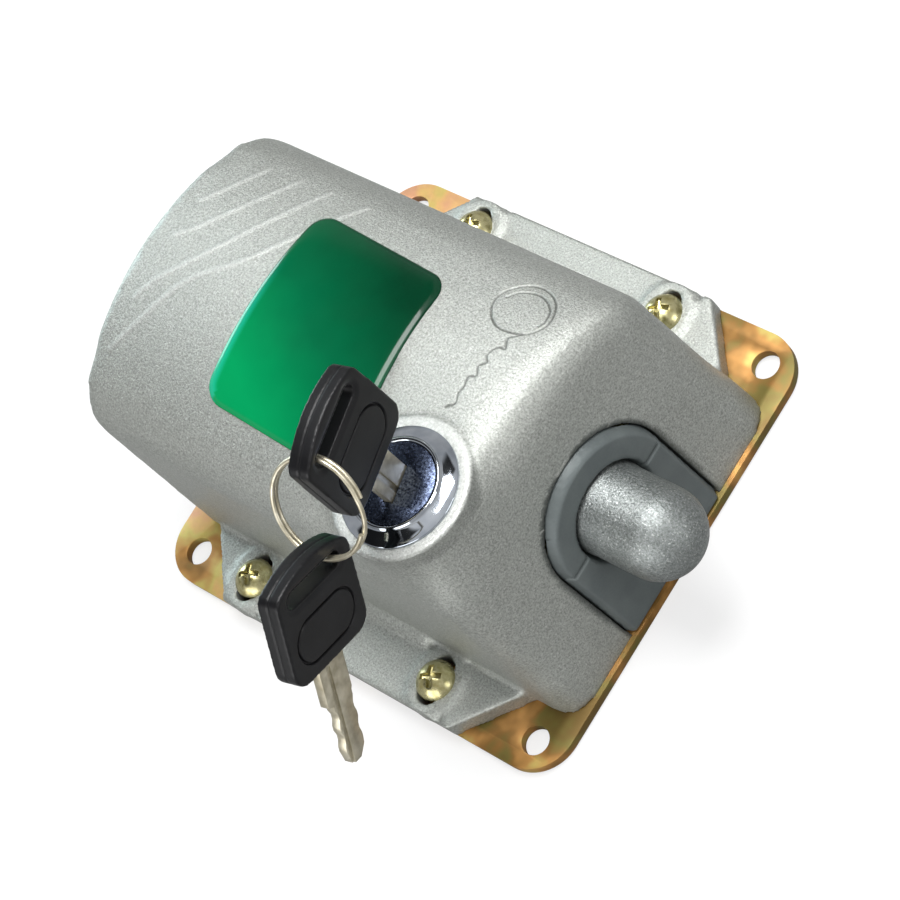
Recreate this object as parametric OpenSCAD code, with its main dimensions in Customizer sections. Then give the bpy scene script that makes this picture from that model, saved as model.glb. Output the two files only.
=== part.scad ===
// Electric gate lock: a vaulted die-cast cover on a flat back plate, a round-nosed
// bolt thrown by a spring and drawn back by a solenoid or by the key.
// Millimetres. +X points the way the bolt is thrown, +Y across, +Z away from the plate.
// The origin is the centre of the four mounting holes, on the back of the plate.

/* [Back plate] */
// Length of the plate, along the bolt
plate_len = 128; // [120:1:150]
// Width of the plate
plate_w = 115; // [112:1:140]
// Thickness of the plate
plate_t = 2.5; // [2:0.5:4]
// Corner radius of the plate
plate_corner_r = 11; // [4:1:14]
// From the end of the plate to the middle of a mounting hole
hole_edge_x = 8.5; // [7:0.5:11]
// From the side of the plate to the middle of a mounting hole
hole_edge_y = 7.5; // [7:0.5:9]
// Mounting hole diameter
hole_d = 7; // [5:0.5:8]

/* [Cover] */
// Half width of the cover at the plate
cover_half_w = 42.1; // [41:0.1:43.5]
// Height of the crown above the back of the plate
crown_h = 70.6; // [70:0.1:74]
// Radius of the crown across the cover
crown_r = 73.6; // [65:0.1:90]
// Radius of the shoulder between crown and flank
shoulder_r = 16; // [12:0.5:18]
// Draft of the flanks, in degrees
flank_draft = 2.2; // [1:0.1:3]
// Foot of the front face, from the origin
front_x = 63.15; // [62.5:0.05:63.6]
// Lean of the front face, in degrees
front_lean = 8; // [6:0.5:9]
// Radius between front face and crown
knee_r = 9; // [5:0.5:12]
// Radius of the upright front corners
front_corner_r = 7; // [4:0.5:9]
// Foot of the rear end, from the origin
rear_x = 56; // [55.5:0.1:58]
// Lean of the rear end, in degrees
rear_lean = 5.5; // [0:0.5:6]
// Wall of the cover
wall = 3; // [2.5:0.1:3.2]

/* [Flanges] */
// Thickness of the flanges
flange_t = 5.5; // [4.5:0.5:7]
// Width of the flanges, from the cover's side
flange_w = 15.7; // [13.5:0.1:17]
// Half length of a flange at its outer edge
flange_out_x = 37; // [35:0.5:40]
// Half length of a flange at the cover
flange_in_x = 50; // [46:0.5:52]
// Middle of the four cover screws along the bolt
screw_mid_x = -1.9; // [-3:0.1:1]
// Cover screw spacing along the bolt
screw_span_x = 60; // [56:1:64]
// From the cover's side to the middle of a cover screw
screw_off_y = 7.6; // [7:0.1:9]
// Length of the screw slots
slot_len = 12; // [9:0.5:13]
// Nominal diameter of the cover screws
screw_d = 5; // [4:0.5:5.5]
// Head diameter of the cover screws
screw_head_d = 10; // [8.5:0.5:10.5]

/* [Bolt] */
// Height of the bolt axis above the back of the plate
bolt_z = 31; // [30.5:0.5:32]
// Diameter of the bolt in its guide
bolt_d = 22; // [21:0.1:22.4]
// Diameter of the free nose
nose_d = 21.5; // [20:0.1:21.6]
// Centre of the ball end of the nose
nose_x = 73; // [70:0.5:78]
// Rear end of the bolt
bolt_rear_x = 25; // [24:0.5:27]
// Length of the taper from the bolt to its nose
nose_taper = 1.6; // [1:0.1:2.5]
// Travel of the bolt
throw_len = 22; // [18:1:22]
// Running clearance round the bolt
run_gap = 0.08; // [0.04:0.01:0.1]

/* [Bolt guide] */
// Radius of the U-shaped guide in the front face
guide_r = 18.7; // [18:0.1:19.5]
// Step of the retaining rim behind the front wall
guide_rim = 2; // [1:0.5:3]
// Rear face of the upper guide half
guide_cap_x = 50; // [49.5:0.5:51]
// Rear face of the lower guide half
guide_bed_x = 30; // [28:1:34]

/* [Solenoid] */
// Rear face of the yoke
yoke_rear_x = -52; // [-53:0.5:-50]
// Front face of the yoke
yoke_front_x = -7; // [-9:0.5:-6]
// Sheet thickness of the yoke
yoke_t = 2; // [1.5:0.5:2.5]
// Half width of the yoke end plates
yoke_half_w = 19; // [18:0.5:20]
// Diameter of the plunger
plunger_d = 12; // [10:0.5:12.5]
// Outer diameter of the bobbin flanges
bobbin_d = 35; // [32:0.5:36]
// Wire diameter of the bolt spring
spring_wire = 1.3; // [1:0.1:1.5]
// Outer diameter of the bolt spring
spring_d = 17.4; // [16.5:0.1:18.5]
// Number of coils of the bolt spring
spring_coils = 7; // [5:1:7]

/* [Lock cylinder] */
// Position of the cylinder axis along the bolt
lock_x = 37.3; // [36.8:0.1:37.8]
// Position of the cylinder axis across the bolt
lock_y = -22.7; // [-23.2:0.1:-22.2]
// Radius of the round boss on the cover
boss_r = 17; // [15.5:0.1:17.5]
// Radius of the barrel
barrel_r = 8; // [7.6:0.1:8.4]
// Lower end of the barrel
barrel_end_z = 50; // [50:0.5:51]
// Radius of the bezel
bezel_r = 14.1; // [13:0.1:14.5]
// Height of the bezel
bezel_h = 2.6; // [2.2:0.1:3]
// Radius of the plug's face
plug_face_r = 9.6; // [9:0.1:10]
// Radius of the plug's core
plug_r = 6.2; // [6:0.05:6.4]
// Crank radius of the cam
crank_r = 15.9; // [15.6:0.1:16.2]

/* [Keys] */
// Turn of the key's width away from straight across, in degrees
key_dir = 13; // [5:1:20]
// Width of a key head
head_w = 26.2; // [24:0.2:27]
// Length of a key head
head_len = 24.6; // [23:0.2:26]
// Thickness of a key head
head_t = 5.4; // [4.8:0.2:6]
// Length of the slot in a key head
head_slot_len = 18.4; // [16:0.2:19]
// Width of the slot in a key head
head_slot_w = 3.8; // [3.6:0.1:4.2]
// Width of a key blade
blade_w = 8.6; // [8:0.1:8.8]
// Thickness of a key blade
blade_t = 2.2; // [1.8:0.1:2.3]
// From the tip of the key in the lock to the inner end of the plug
key_tip_gap = 6; // [4.5:0.5:8]
// Length of blade left between the plug's face and the key head
key_stand = 10.25; // [9:0.05:12]
// Radius of the split ring, to the middle of its wire
ring_r = 11.4; // [11:0.1:12.5]
// Wire diameter of the split ring
ring_wire = 1.1; // [1:0.1:1.2]
// Slope of the ring below the horizontal, in degrees
ring_slope = 47; // [44:1:50]
// Swing of the hanging key away from upright, in degrees
key_2_swing = 32.5; // [26:0.5:35]

/* [Label] */
// Length of the label along the bolt
label_len = 43.4; // [36:0.2:45]
// Width of the label across the bolt
label_w = 51.4; // [44:0.2:52]
// Centre of the label along the bolt
label_x = -3.5; // [-6:0.5:-2]
// Thickness of the label above the crown
label_t = 0.9; // [0.5:0.1:1.5]

/* [Cable inlet and terminals] */
// Bore radius of the cable grommet
gland_bore_r = 3.4; // [2.5:0.1:4]
// From the cover's side to the middle of the grommet
gland_side = 17.1; // [15:0.1:19]
// Height of the grommet axis
gland_z = 14; // [13.5:0.5:16]
// Length of the terminal block
block_len = 24; // [20:1:26]
// Height of the terminal block
block_h = 11; // [9:0.5:13]
// Width of the terminal block
block_w = 10; // [8:0.5:11]
// From the cover's side to the middle of the terminal block
block_side = 12.1; // [11:0.1:13]

/* [Hidden] */
$fn = 64;

eps = 0.01;         // overrun of a cut past the face it opens
blend = 0.03;       // step by which the cover's arcs cross instead of just touching
seat_gap = 0.05;    // radial clearance of screws, pins and pressed-in pieces
fit_gap = 0.1;      // clearance of pieces that drop into a pocket
big = 300;          // larger than the whole lock

// cover form
front_run = tan(front_lean);
rear_run = tan(rear_lean);
flank_run = tan(flank_draft);
crown_c = crown_h - crown_r;
shoulder_n = sqrt(1 + flank_run * flank_run);
shoulder_a = cover_half_w - shoulder_r * shoulder_n;
shoulder_q = 1 + flank_run * flank_run;
shoulder_b = -2 * shoulder_a * flank_run - 2 * crown_c;
shoulder_k = shoulder_a * shoulder_a + crown_c * crown_c - (crown_r - shoulder_r) * (crown_r - shoulder_r);
shoulder_z = (-shoulder_b + sqrt(shoulder_b * shoulder_b - 4 * shoulder_q * shoulder_k)) / (2 * shoulder_q);
shoulder_y = shoulder_a - flank_run * shoulder_z;
shoulder_top_a = atan2(shoulder_z - crown_c, shoulder_y);
knee_lift = 0.4;    // how far the knee circle rises over the crown line

// mounting holes
hole_span_x = plate_len - 2 * hole_edge_x;
hole_span_y = plate_w - 2 * hole_edge_y;

// flanges and cover screws
flange_top = plate_t + flange_t;
flange_edge_y = cover_half_w + flange_w;
screw_span_y = 2 * (cover_half_w + screw_off_y);
screw_head_h = 3.4;
slot_w = screw_d + 0.6;
pad_rim = 2.4;      // wall left round a screw slot
pad_rise = 0.6;     // height of the screw pads over the flange
groove_w = 1.4;
groove_depth = 1;
groove_off = 5.5;   // from a cover screw to the groove beside it
skirt_w = 3.5;      // foot fillet between the screws
skirt_h = 3;

// bolt
bolt_r = bolt_d / 2;
nose_r = nose_d / 2;
nose_clear = 4;     // free width round the nose at its root
nose_start_x = front_x - front_run * (bolt_z - nose_r - nose_clear) + 0.2;
lug_t = 4;          // thickness of the bolt's drawback lug
lug_half_w = 15;
lug_low_z = bolt_z + 3;
crank_reach = throw_len * 0.395;
crank_rest_a = acos(crank_reach / crank_r);
crank_pin_r = 2;
crank_pin_x = lock_x + crank_reach;
crank_pin_y = lock_y + crank_r * sin(crank_rest_a);
lug_lost_motion = 1.2;
lug_front_x = crank_pin_x - crank_pin_r - lug_lost_motion;
lug_top_z = bolt_z + bolt_r + 2.4;
cam_gap = 0.8;
cam_low_z = lug_top_z + cam_gap;
cam_t = 3;
cam_w = 8;
cam_hub_r = 6;
crank_pin_low_z = bolt_z + bolt_r + 0.4;
tang_t = 4;         // flat of the plunger in the bolt's slot
tang_h = 8;
tang_len = 10;
tang_gap = 0.2;
link_pin_r = 1.5;

// solenoid
plunger_r = plunger_d / 2;
plunger_rear_x = yoke_front_x - 15;
core_len = 6;
bumper_t = 1.5;
bore_gap = 0.4;     // clearance of the plunger in the bobbin
bobbin_wall = 1.5;
flange_wall = 1.5;
tape_t = 0.5;
yoke_top_z = bolt_z + yoke_half_w + 1;
solenoid_screw_x = 12;
solenoid_screw_y = 9;
small_screw_r = 2;
small_head_r = 3.6;
small_head_h = 2.2;
head_rim = 0.15;     // upright edge of a screw head under its dome
screw_tip_z = 0.3;  // screws end this far above the back of the plate
spring_r = (spring_d - spring_wire) / 2;
spring_rings = 12;

// guide
cap_screw_r = 1.5;
cap_screw_depth = 12;   // how far a cap screw reaches below the bolt's axis
cap_screw_x = 54.3;
cap_screw_y = 15.1;
cap_seat_z = bolt_z + 5;
cap_head_r = 2.6;
cap_head_h = 2;
guide_screw_x = 40;
guide_screw_y = 13;
guide_screw_r = 2;
guide_screw_head_r = 3.8;
guide_screw_top_z = 14;
stop_y = 12.5;
stop_w = 3.5;

// lock
face_z = crown_h + 0.2;      // flat rim of the boss
boss_root = 4;               // how far the boss reaches below the nut's seat
boss_wall = 2;
nut_seat_z = 56;
nut_h = 4;
nut_flats = 19;
nut_room = 0.5;              // clearance round the nut in the cover
barrel_cap_r = bezel_r - 1.3;
barrel_cap_h = 0.8;
barrel_bore = plug_r + 0.05;
plug_face_t = 1.5;
plug_face_low = face_z + barrel_cap_h + 0.05;
plug_end_z = barrel_end_z - 0.6;
tail_w = 4;
keyway_w = blade_w + 0.4;
keyway_t = blade_t + 0.4;
key_bottom_z = plug_face_low + plug_face_t + key_stand;
key_top_z = key_bottom_z + head_len;
blade_len = key_bottom_z - plug_end_z - key_tip_gap;
keyway_low_z = key_bottom_z - blade_len - 1;
wafer_n = 5;
wafer_w = 10.6;
wafer_d = 4.4;
wafer_first_z = keyway_low_z + 4.6;
wafer_step = (plug_face_low - 0.65 - wafer_first_z) / wafer_n;
wafer_t = wafer_step * 0.46;
wafer_gap = 0.1;
cam_screw_r = 1.5;

// keys: u runs across a key, v down from the top of its head, n through it
key_u = [sin(key_dir), -cos(key_dir), 0];
key_n = [cos(key_dir), sin(key_dir), 0];
slot_v = 4.5;       // middle of the slot below the shoulders of the head
head_rise = 1;      // height of the arched top edge over the shoulders
head_arch_r = 28;
head_corner_r = 2.8;
head_foot_r = 4.2;
head_lean = 0.25;   // how much narrower a head is at its top corners
cut_depths = [1.6, 2.3, 1.8, 2.4, 1.9];
back_depths = [0.4, 0.9, 0.5, 1, 0.6];
tenon_len = 8;
tenon_gap = 0.02;
ring_gap = 0.45;    // between the two turns of the ring
ring_step = 10;     // angle from one section of the ring's wire to the next
ring_slot_u = (head_slot_len - head_slot_w) / 2;
ring_top = [lock_x, lock_y, key_top_z - slot_v] + ring_slot_u * key_u;
ring_down = cos(ring_slope) * key_u - [0, 0, sin(ring_slope)];
ring_up = sin(ring_slope) * key_u + [0, 0, cos(ring_slope)];
ring_c = ring_top + ring_r * ring_down;
ring_low = ring_c + ring_r * ring_down;
key_2_down = sin(key_2_swing) * key_u - [0, 0, cos(key_2_swing)];
key_2_u = cos(key_2_swing) * key_u + [0, 0, sin(key_2_swing)];
key_2_slot_u = -ring_slot_u;
key_2_top = ring_low - key_2_slot_u * key_2_u - slot_v * key_2_down;

// terminals and leads
block_x = -34;
block_y = cover_half_w - block_side;
block_foot_h = 4;
block_screw_r = 1.5;
block_screw_in = 2.5;   // from the end of the block to its screw
block_head_r = 2.4;
block_head_h = 1.4;
terminal_depth = 3;     // from the top of the block to a terminal screw's seat
terminal_screw_len = 2.5;
wire_hole_z = 3.5;
wire_hole_r = 1.4;
lead_r = 0.8;
lead_start_y = bobbin_d / 2 - 1.2 + tape_t + 0.05;
lead_plain = 1.15;      // straight stretch of a lead at the coil
lead_entry = 1;         // straight stretch of a lead before the block
lead_depth = 3;         // how far a lead runs into the block
lead_bend = (block_y - block_w / 2 - lead_start_y - lead_plain - lead_entry) / 2;
lead_step = 8;
lead_z = bolt_z;

function arc(c, r, a0, a1, n) = [for (i = [0 : n])
  let (a = a0 + (a1 - a0) * i / n) c + r * [cos(a), sin(a)]];

// Section across the cover, inset by i, from the plate up
module cover_section(i) {
  r = shoulder_r - i;
  q = r - blend;
  side = [shoulder_y + q * cos(flank_draft), shoulder_z + q * sin(flank_draft)];
  foot_y = side[0] + flank_run * side[1];
  polygon([[-foot_y, 0], [foot_y, 0], side, [shoulder_y, shoulder_z],
    [-shoulder_y, shoulder_z], [-side[0], side[1]]]);
  for (s = [-1, 1])
    translate([s * shoulder_y, shoulder_z]) circle(r);
  intersection() {
    translate([0, crown_c]) circle(crown_r - i - blend, $fn = 180);
    polygon([[0, crown_c], [crown_r * 3 * cos(shoulder_top_a), crown_c + crown_r * 3 * sin(shoulder_top_a)],
      [-crown_r * 3 * cos(shoulder_top_a), crown_c + crown_r * 3 * sin(shoulder_top_a)]]);
  }
}

// Side view of the cover, inset by i, without the rounded knee
module cover_side(i) {
  top = crown_h + wall;
  polygon([[-rear_x + i, 0], [front_x - i, 0], [front_x - i - front_run * top, top],
    [-rear_x + i - rear_run * top, top]]);
}

// What the knee radius takes off the front top edge
module knee_cut() {
  c = [front_x - front_run * (crown_h - knee_r + knee_lift) - knee_r / cos(front_lean) + eps,
    crown_h - knee_r + knee_lift];
  difference() {
    translate(c) square([knee_r * 2, knee_r * 2]);
    translate(c) circle(knee_r);
  }
}

// What an upright corner radius takes off, for the corner on side s
module corner_cut(s, r) {
  translate([front_x, s * cover_half_w, 0])
    rotate([s * atan(flank_run * cos(front_lean)), -front_lean, 0])
      translate([0, 0, -5])
        linear_extrude(crown_h + 10)
          difference() {
            translate([-r, s > 0 ? -r : 0]) translate([0, s > 0 ? 0 : -5]) square([r + 5, r + 5]);
            translate([-r + 0.04, -s * (r - 0.04)]) circle(r);
          }
}

// The cover's outer form (i = 0) or its hollow (i = wall), from height z0 up
module cover_form(i, z0) {
  intersection() {
    rotate([90, 0, 90]) translate([0, 0, -big / 2]) linear_extrude(big) cover_section(i);
    rotate([90, 0, 0]) translate([0, 0, -big / 2]) linear_extrude(big) cover_side(i);
    translate([-big / 2, -big / 2, z0]) cube([big, big, big]);
  }
}

module u_outline(r) {
  translate([0, bolt_z]) circle(r);
  translate([-r, 0]) square([2 * r, bolt_z]);
}

// A prism along the bolt from x0 to x1
module along_x(x0, x1) {
  translate([x0, 0, 0]) rotate([90, 0, 90]) linear_extrude(x1 - x0) children();
}

// Everything in front of the front face, set back by i
module ahead_of_front(i) {
  translate([front_x - i, 0, 0]) rotate([0, -front_lean, 0]) translate([0, -big / 2, -big / 2])
    cube([big, big, big]);
}

module at_cover_screws() {
  for (sx = [-1, 1], sy = [-1, 1])
    translate([screw_mid_x + sx * screw_span_x / 2, sy * screw_span_y / 2, 0]) children();
}

module slot_shape(len, w) {
  for (s = [-1, 1]) translate([0, s * (len - w) / 2]) circle(w / 2);
  translate([-w / 2, -(len - w) / 2]) square([w, len - w]);
}

module rounded_rect(len, w, r) {
  square([len - 2 * r, w], center = true);
  square([len, w - 2 * r], center = true);
  for (sx = [-1, 1], sy = [-1, 1]) translate([sx * (len / 2 - r), sy * (w / 2 - r)]) circle(r);
}

module base_plate() {
  color("#d0a050") difference() {
    linear_extrude(plate_t) rounded_rect(plate_len, plate_w, plate_corner_r);
    for (sx = [-1, 1], sy = [-1, 1])
      translate([sx * hole_span_x / 2, sy * hole_span_y / 2, -eps])
        cylinder(d = hole_d, h = plate_t + 2 * eps);
    at_cover_screws() translate([0, 0, -eps]) cylinder(r = screw_d / 2 + seat_gap, h = plate_t + 2 * eps);
    at_solenoid_screws() translate([0, 0, -eps])
      cylinder(r = small_screw_r + seat_gap, h = plate_t + 2 * eps);
    at_guide_screws() {
      translate([0, 0, -eps]) cylinder(r = guide_screw_r + seat_gap, h = plate_t + 2 * eps);
      translate([0, 0, -eps]) cylinder(r = guide_screw_head_r + seat_gap, h = screw_tip_z + 2 * eps);
      translate([0, 0, screw_tip_z])
        cylinder(r1 = guide_screw_head_r + seat_gap, r2 = guide_screw_r + seat_gap, h = plate_t - 0.6);
    }
    at_block_screws() translate([0, 0, -eps]) cylinder(r = block_screw_r + seat_gap, h = plate_t + 2 * eps);
  }
}

module flange_shape(s) {
  polygon([[-flange_in_x, s * (cover_half_w - wall - 0.5)], [flange_in_x, s * (cover_half_w - wall - 0.5)],
    [flange_in_x, s * (cover_half_w + 0.5)], [flange_out_x, s * flange_edge_y],
    [-flange_out_x, s * flange_edge_y], [-flange_in_x, s * (cover_half_w + 0.5)]]);
}

// Foot fillet that runs between the two screws of one side
module skirt(s) {
  x = screw_span_x / 2 - slot_w / 2 - pad_rim - 2;
  y = cover_half_w - 1;
  translate([screw_mid_x - x, 0, 0]) rotate([90, 0, 90]) linear_extrude(2 * x)
    polygon([[s * y, flange_top - 1], [s * (cover_half_w + skirt_w), flange_top - 1],
      [s * (cover_half_w + skirt_w), flange_top], [s * y, flange_top + skirt_h]]);
}

module key_picture_cut() {
  bow = [39.5, 23.5];
  bow_len = 14;
  bow_w = 10.5;
  line = 0.6;
  depth = 0.5;
  tooth = 2.6;
  teeth = 8;
  intersection() {
    translate([0, 0, crown_h - 8]) linear_extrude(20) {
      translate(bow) difference() {
        rotate(90) slot_shape(bow_len, bow_w);
        rotate(90) slot_shape(bow_len - 2 * line, bow_w - 2 * line);
      }
      for (i = [0 : teeth - 1])
        translate(bow - [1.5 + 0.5 * i, bow_w / 2 + 1 + i * tooth]) {
          square([line, tooth + line / 2]);
          translate([i % 2 == 0 ? -1.6 : 0, 0]) square([2.1, line]);
        }
    }
    rotate([90, 0, 90]) translate([0, 0, -big / 2]) linear_extrude(big)
      difference() {
        translate([0, crown_c]) circle(crown_r + 2, $fn = 180);
        translate([0, crown_c]) circle(crown_r - depth, $fn = 180);
      }
  }
}

module label_outline(grow) {
  translate([label_x, 0]) rounded_rect(label_len + 2 * grow, label_w + 2 * grow, 5 + grow);
}

// A shell that follows the crown between two radii, in the label's outline
module crown_patch(r0, r1, grow) {
  intersection() {
    translate([0, 0, crown_h - 12]) linear_extrude(24) label_outline(grow);
    rotate([90, 0, 90]) translate([0, 0, -big / 2]) linear_extrude(big)
      difference() {
        translate([0, crown_c]) circle(r1, $fn = 180);
        translate([0, crown_c]) circle(r0, $fn = 180);
      }
  }
}

module housing() {
  color("#a9aca8") difference() {
    union() {
      difference() {
        cover_form(0, plate_t);
        rotate([90, 0, 0]) translate([0, 0, -big / 2]) linear_extrude(big) knee_cut();
        for (s = [-1, 1]) corner_cut(s, front_corner_r);
      }
      for (s = [-1, 1]) {
        translate([0, 0, plate_t]) linear_extrude(flange_t) flange_shape(s);
        skirt(s);
      }
      at_cover_screws() translate([0, 0, plate_t]) linear_extrude(flange_t + pad_rise)
        slot_shape(slot_len + 2 * pad_rim, slot_w + 2 * pad_rim + 3);
      translate([lock_x, lock_y, nut_seat_z - boss_root])
        cylinder(r = boss_r, h = face_z - nut_seat_z + boss_root);
      gland_pad();
    }
    difference() {
      cover_form(wall, plate_t - 1);
      translate([lock_x, lock_y, nut_seat_z]) cylinder(r = boss_r - boss_wall, h = big);
    }
    translate([lock_x, lock_y, nut_seat_z - nut_h - nut_room])
      cylinder(r = nut_flats / 2 / cos(30) + nut_room, h = nut_h + nut_room);
    translate([lock_x, lock_y, nut_seat_z - 1]) cylinder(r = barrel_r + fit_gap, h = big);
    at_cover_screws() translate([0, 0, plate_t - 1]) linear_extrude(big / 10) slot_shape(slot_len, slot_w);
    at_cover_screws() translate([0, 0, flange_top + pad_rise]) cylinder(r = screw_head_d / 2 + 0.6, h = 12);
    for (sx = [-1, 1], sy = [-1, 1])
      translate([screw_mid_x + sx * screw_span_x / 2 + groove_off - groove_w / 2,
        sy > 0 ? cover_half_w + 0.5 : -big / 3, flange_top - groove_depth])
        cube([groove_w, big / 3 - cover_half_w - 0.5, groove_depth + eps]);
    along_x(0, big) u_outline(guide_r + fit_gap);
    crown_patch(crown_r - 0.4, crown_r + 5, fit_gap);
    key_picture_cut();
    translate([-big / 2, gland_y, gland_z]) rotate([0, 90, 0]) cylinder(r = gland_seat_r, h = big / 2 - 40);
  }
}

// cable inlet
gland_y = cover_half_w - gland_side;
gland_wall = 3;
gland_seat_r = gland_bore_r + gland_wall;
gland_pad_rim = 2.5;
gland_pad_x = -rear_x - rear_run * (gland_z + gland_seat_r + gland_pad_rim) - 0.6;
gland_catch = 1.2;

module gland_pad() {
  translate([gland_pad_x, gland_y, gland_z]) rotate([0, 90, 0])
    cylinder(r = gland_seat_r + gland_pad_rim, h = -rear_x + 0.5 - gland_pad_x + wall);
}

module cable_grommet() {
  inner_x = -rear_x - rear_run * (gland_z - gland_seat_r - gland_catch) + wall / cos(rear_lean) + fit_gap;
  lip = gland_wall * 0.6;
  color("#1c1c1e") difference() {
    union() {
      translate([gland_pad_x - lip, gland_y, gland_z]) rotate([0, 90, 0])
        cylinder(r = gland_seat_r + gland_pad_rim - 0.5, h = lip);
      translate([gland_pad_x - lip, gland_y, gland_z]) rotate([0, 90, 0])
        cylinder(r = gland_seat_r - seat_gap, h = inner_x - gland_pad_x + lip + gland_catch);
      translate([inner_x, gland_y, gland_z]) rotate([0, 90, 0])
        cylinder(r1 = gland_seat_r + gland_catch, r2 = gland_seat_r - 1, h = gland_catch);
    }
    translate([gland_pad_x - lip - eps, gland_y, gland_z]) rotate([0, 90, 0])
      cylinder(r = gland_bore_r, h = inner_x - gland_pad_x + 3 * lip);
  }
}

// Cross recess of a screw head, its bottom at z = 0
module cross_recess(w, h) {
  for (a = [0, 90]) rotate(a) translate([-w / 2, -w / 8, 0]) cube([w, w / 4, h]);
}

module pan_screw(r, head_r, head_h, low_z, seat_z) {
  crown = head_h - head_rim;
  dome_r = (head_r * head_r + crown * crown) / (2 * crown);
  difference() {
    union() {
      translate([0, 0, low_z]) cylinder(r = r, h = seat_z - low_z);
      intersection() {
        translate([0, 0, seat_z]) cylinder(r = head_r, h = head_h);
        translate([0, 0, seat_z + head_h - dome_r]) sphere(dome_r);
      }
    }
    translate([0, 0, seat_z + head_h * 0.45]) cross_recess(head_r * 1.1, head_h);
  }
}

module housing_screws() {
  color("#c9b884") at_cover_screws()
    rotate(28) pan_screw(screw_d / 2, screw_head_d / 2, screw_head_h, screw_tip_z, flange_top + pad_rise);
}

module at_guide_screws() {
  for (s = [-1, 1]) translate([guide_screw_x, s * guide_screw_y, 0]) children();
}

module bolt_guide_lower() {
  color("#565d5f") difference() {
    union() {
      along_x(guide_bed_x, front_x) intersection() {
        u_outline(guide_r);
        translate([-big / 2, plate_t]) square([big, bolt_z - plate_t]);
      }
      difference() {
        along_x(guide_cap_x, front_x) intersection() {
          u_outline(guide_r + guide_rim);
          translate([-big / 2, plate_t]) square([big, bolt_z - plate_t]);
        }
        ahead_of_front(wall / cos(front_lean) + seat_gap);
      }
    }
    ahead_of_front(0);
    translate([0, 0, bolt_z]) rotate([0, 90, 0]) cylinder(r = bolt_r + run_gap, h = big);
    at_guide_screws() cylinder(r = guide_screw_r + seat_gap, h = guide_screw_top_z + 0.5);
    at_cap_screws() translate([0, 0, bolt_z - cap_screw_depth - 0.5])
      cylinder(r = cap_screw_r + seat_gap, h = cap_screw_depth + 8);
  }
}

module bolt_guide_upper() {
  color("#5c6365") difference() {
    union() {
      along_x(guide_cap_x, front_x) intersection() {
        u_outline(guide_r);
        translate([-big / 2, bolt_z]) square([big, big]);
      }
      difference() {
        along_x(guide_cap_x, front_x) intersection() {
          u_outline(guide_r + guide_rim);
          translate([-big / 2, bolt_z]) square([big, big]);
        }
        ahead_of_front(wall / cos(front_lean) + seat_gap);
      }
      translate([lug_front_x + fit_gap, stop_y, lug_low_z])
        cube([guide_cap_x - lug_front_x, stop_w, 6]);
    }
    ahead_of_front(0);
    translate([0, 0, bolt_z]) rotate([0, 90, 0]) cylinder(r = bolt_r + run_gap, h = big);
    at_cap_screws() {
      translate([0, 0, bolt_z - eps]) cylinder(r = cap_screw_r + seat_gap, h = 20);
      translate([0, 0, cap_seat_z]) cylinder(r = cap_head_r + fit_gap, h = 20);
    }
    translate([lock_x, lock_y, cam_low_z - 0.5]) cylinder(r = crank_r + cam_w / 2 + 0.4, h = cam_t + 1);
  }
}

module at_cap_screws() {
  for (s = [-1, 1]) translate([cap_screw_x, s * cap_screw_y, 0]) children();
}

module guide_screws() {
  color("#c9b884") at_guide_screws() difference() {
    union() {
      translate([0, 0, screw_tip_z])
        cylinder(r1 = guide_screw_head_r, r2 = guide_screw_r, h = plate_t - 0.6);
      translate([0, 0, screw_tip_z]) cylinder(r = guide_screw_r, h = guide_screw_top_z - screw_tip_z);
    }
    translate([0, 0, screw_tip_z - eps]) cross_recess(4, 1);
  }
}

module guide_cap_screws() {
  color("#c9b884") at_cap_screws() pan_screw(cap_screw_r, cap_head_r, cap_head_h,
    bolt_z - cap_screw_depth, cap_seat_z);
}

module bolt() {
  color("#b4b8b8") difference() {
    union() {
      translate([bolt_rear_x, 0, bolt_z]) rotate([0, 90, 0])
        cylinder(r = bolt_r, h = nose_start_x - nose_taper - bolt_rear_x);
      translate([nose_start_x - nose_taper, 0, bolt_z]) rotate([0, 90, 0])
        cylinder(r1 = bolt_r, r2 = nose_r, h = nose_taper);
      translate([nose_start_x, 0, bolt_z]) rotate([0, 90, 0])
        cylinder(r = nose_r, h = nose_x - nose_start_x);
      translate([nose_x, 0, bolt_z]) sphere(nose_r);
      translate([lug_front_x - lug_t, -lug_half_w - 1, lug_low_z])
        cube([lug_t, 2 * lug_half_w + 2, lug_top_z - lug_low_z]);
    }
    translate([bolt_rear_x - eps, -tang_t / 2 - tang_gap, bolt_z - tang_h / 2 - tang_gap])
      cube([tang_len + 1, tang_t + 2 * tang_gap, tang_h + 2 * tang_gap]);
    translate([bolt_rear_x + tang_len / 2, -bolt_r - 1, bolt_z]) rotate([-90, 0, 0])
      cylinder(r = link_pin_r + seat_gap, h = bolt_d + 2);
  }
}

module plunger() {
  front_x0 = bolt_rear_x - 0.3;
  color("#b9bcc0") difference() {
    union() {
      translate([plunger_rear_x, 0, bolt_z]) rotate([0, 90, 0])
        cylinder(r = plunger_r, h = front_x0 - plunger_rear_x);
      translate([front_x0 - 1, -tang_t / 2, bolt_z - tang_h / 2]) cube([tang_len + 1, tang_t, tang_h]);
    }
    translate([bolt_rear_x + tang_len / 2, -bolt_r - 1, bolt_z]) rotate([-90, 0, 0])
      cylinder(r = link_pin_r + seat_gap, h = bolt_d + 2);
  }
}

module plunger_pin() {
  len = bolt_d - 2;
  color("#c4c6c8") translate([bolt_rear_x + tang_len / 2, -len / 2, bolt_z]) rotate([-90, 0, 0])
    cylinder(r = link_pin_r, h = len);
}

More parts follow.
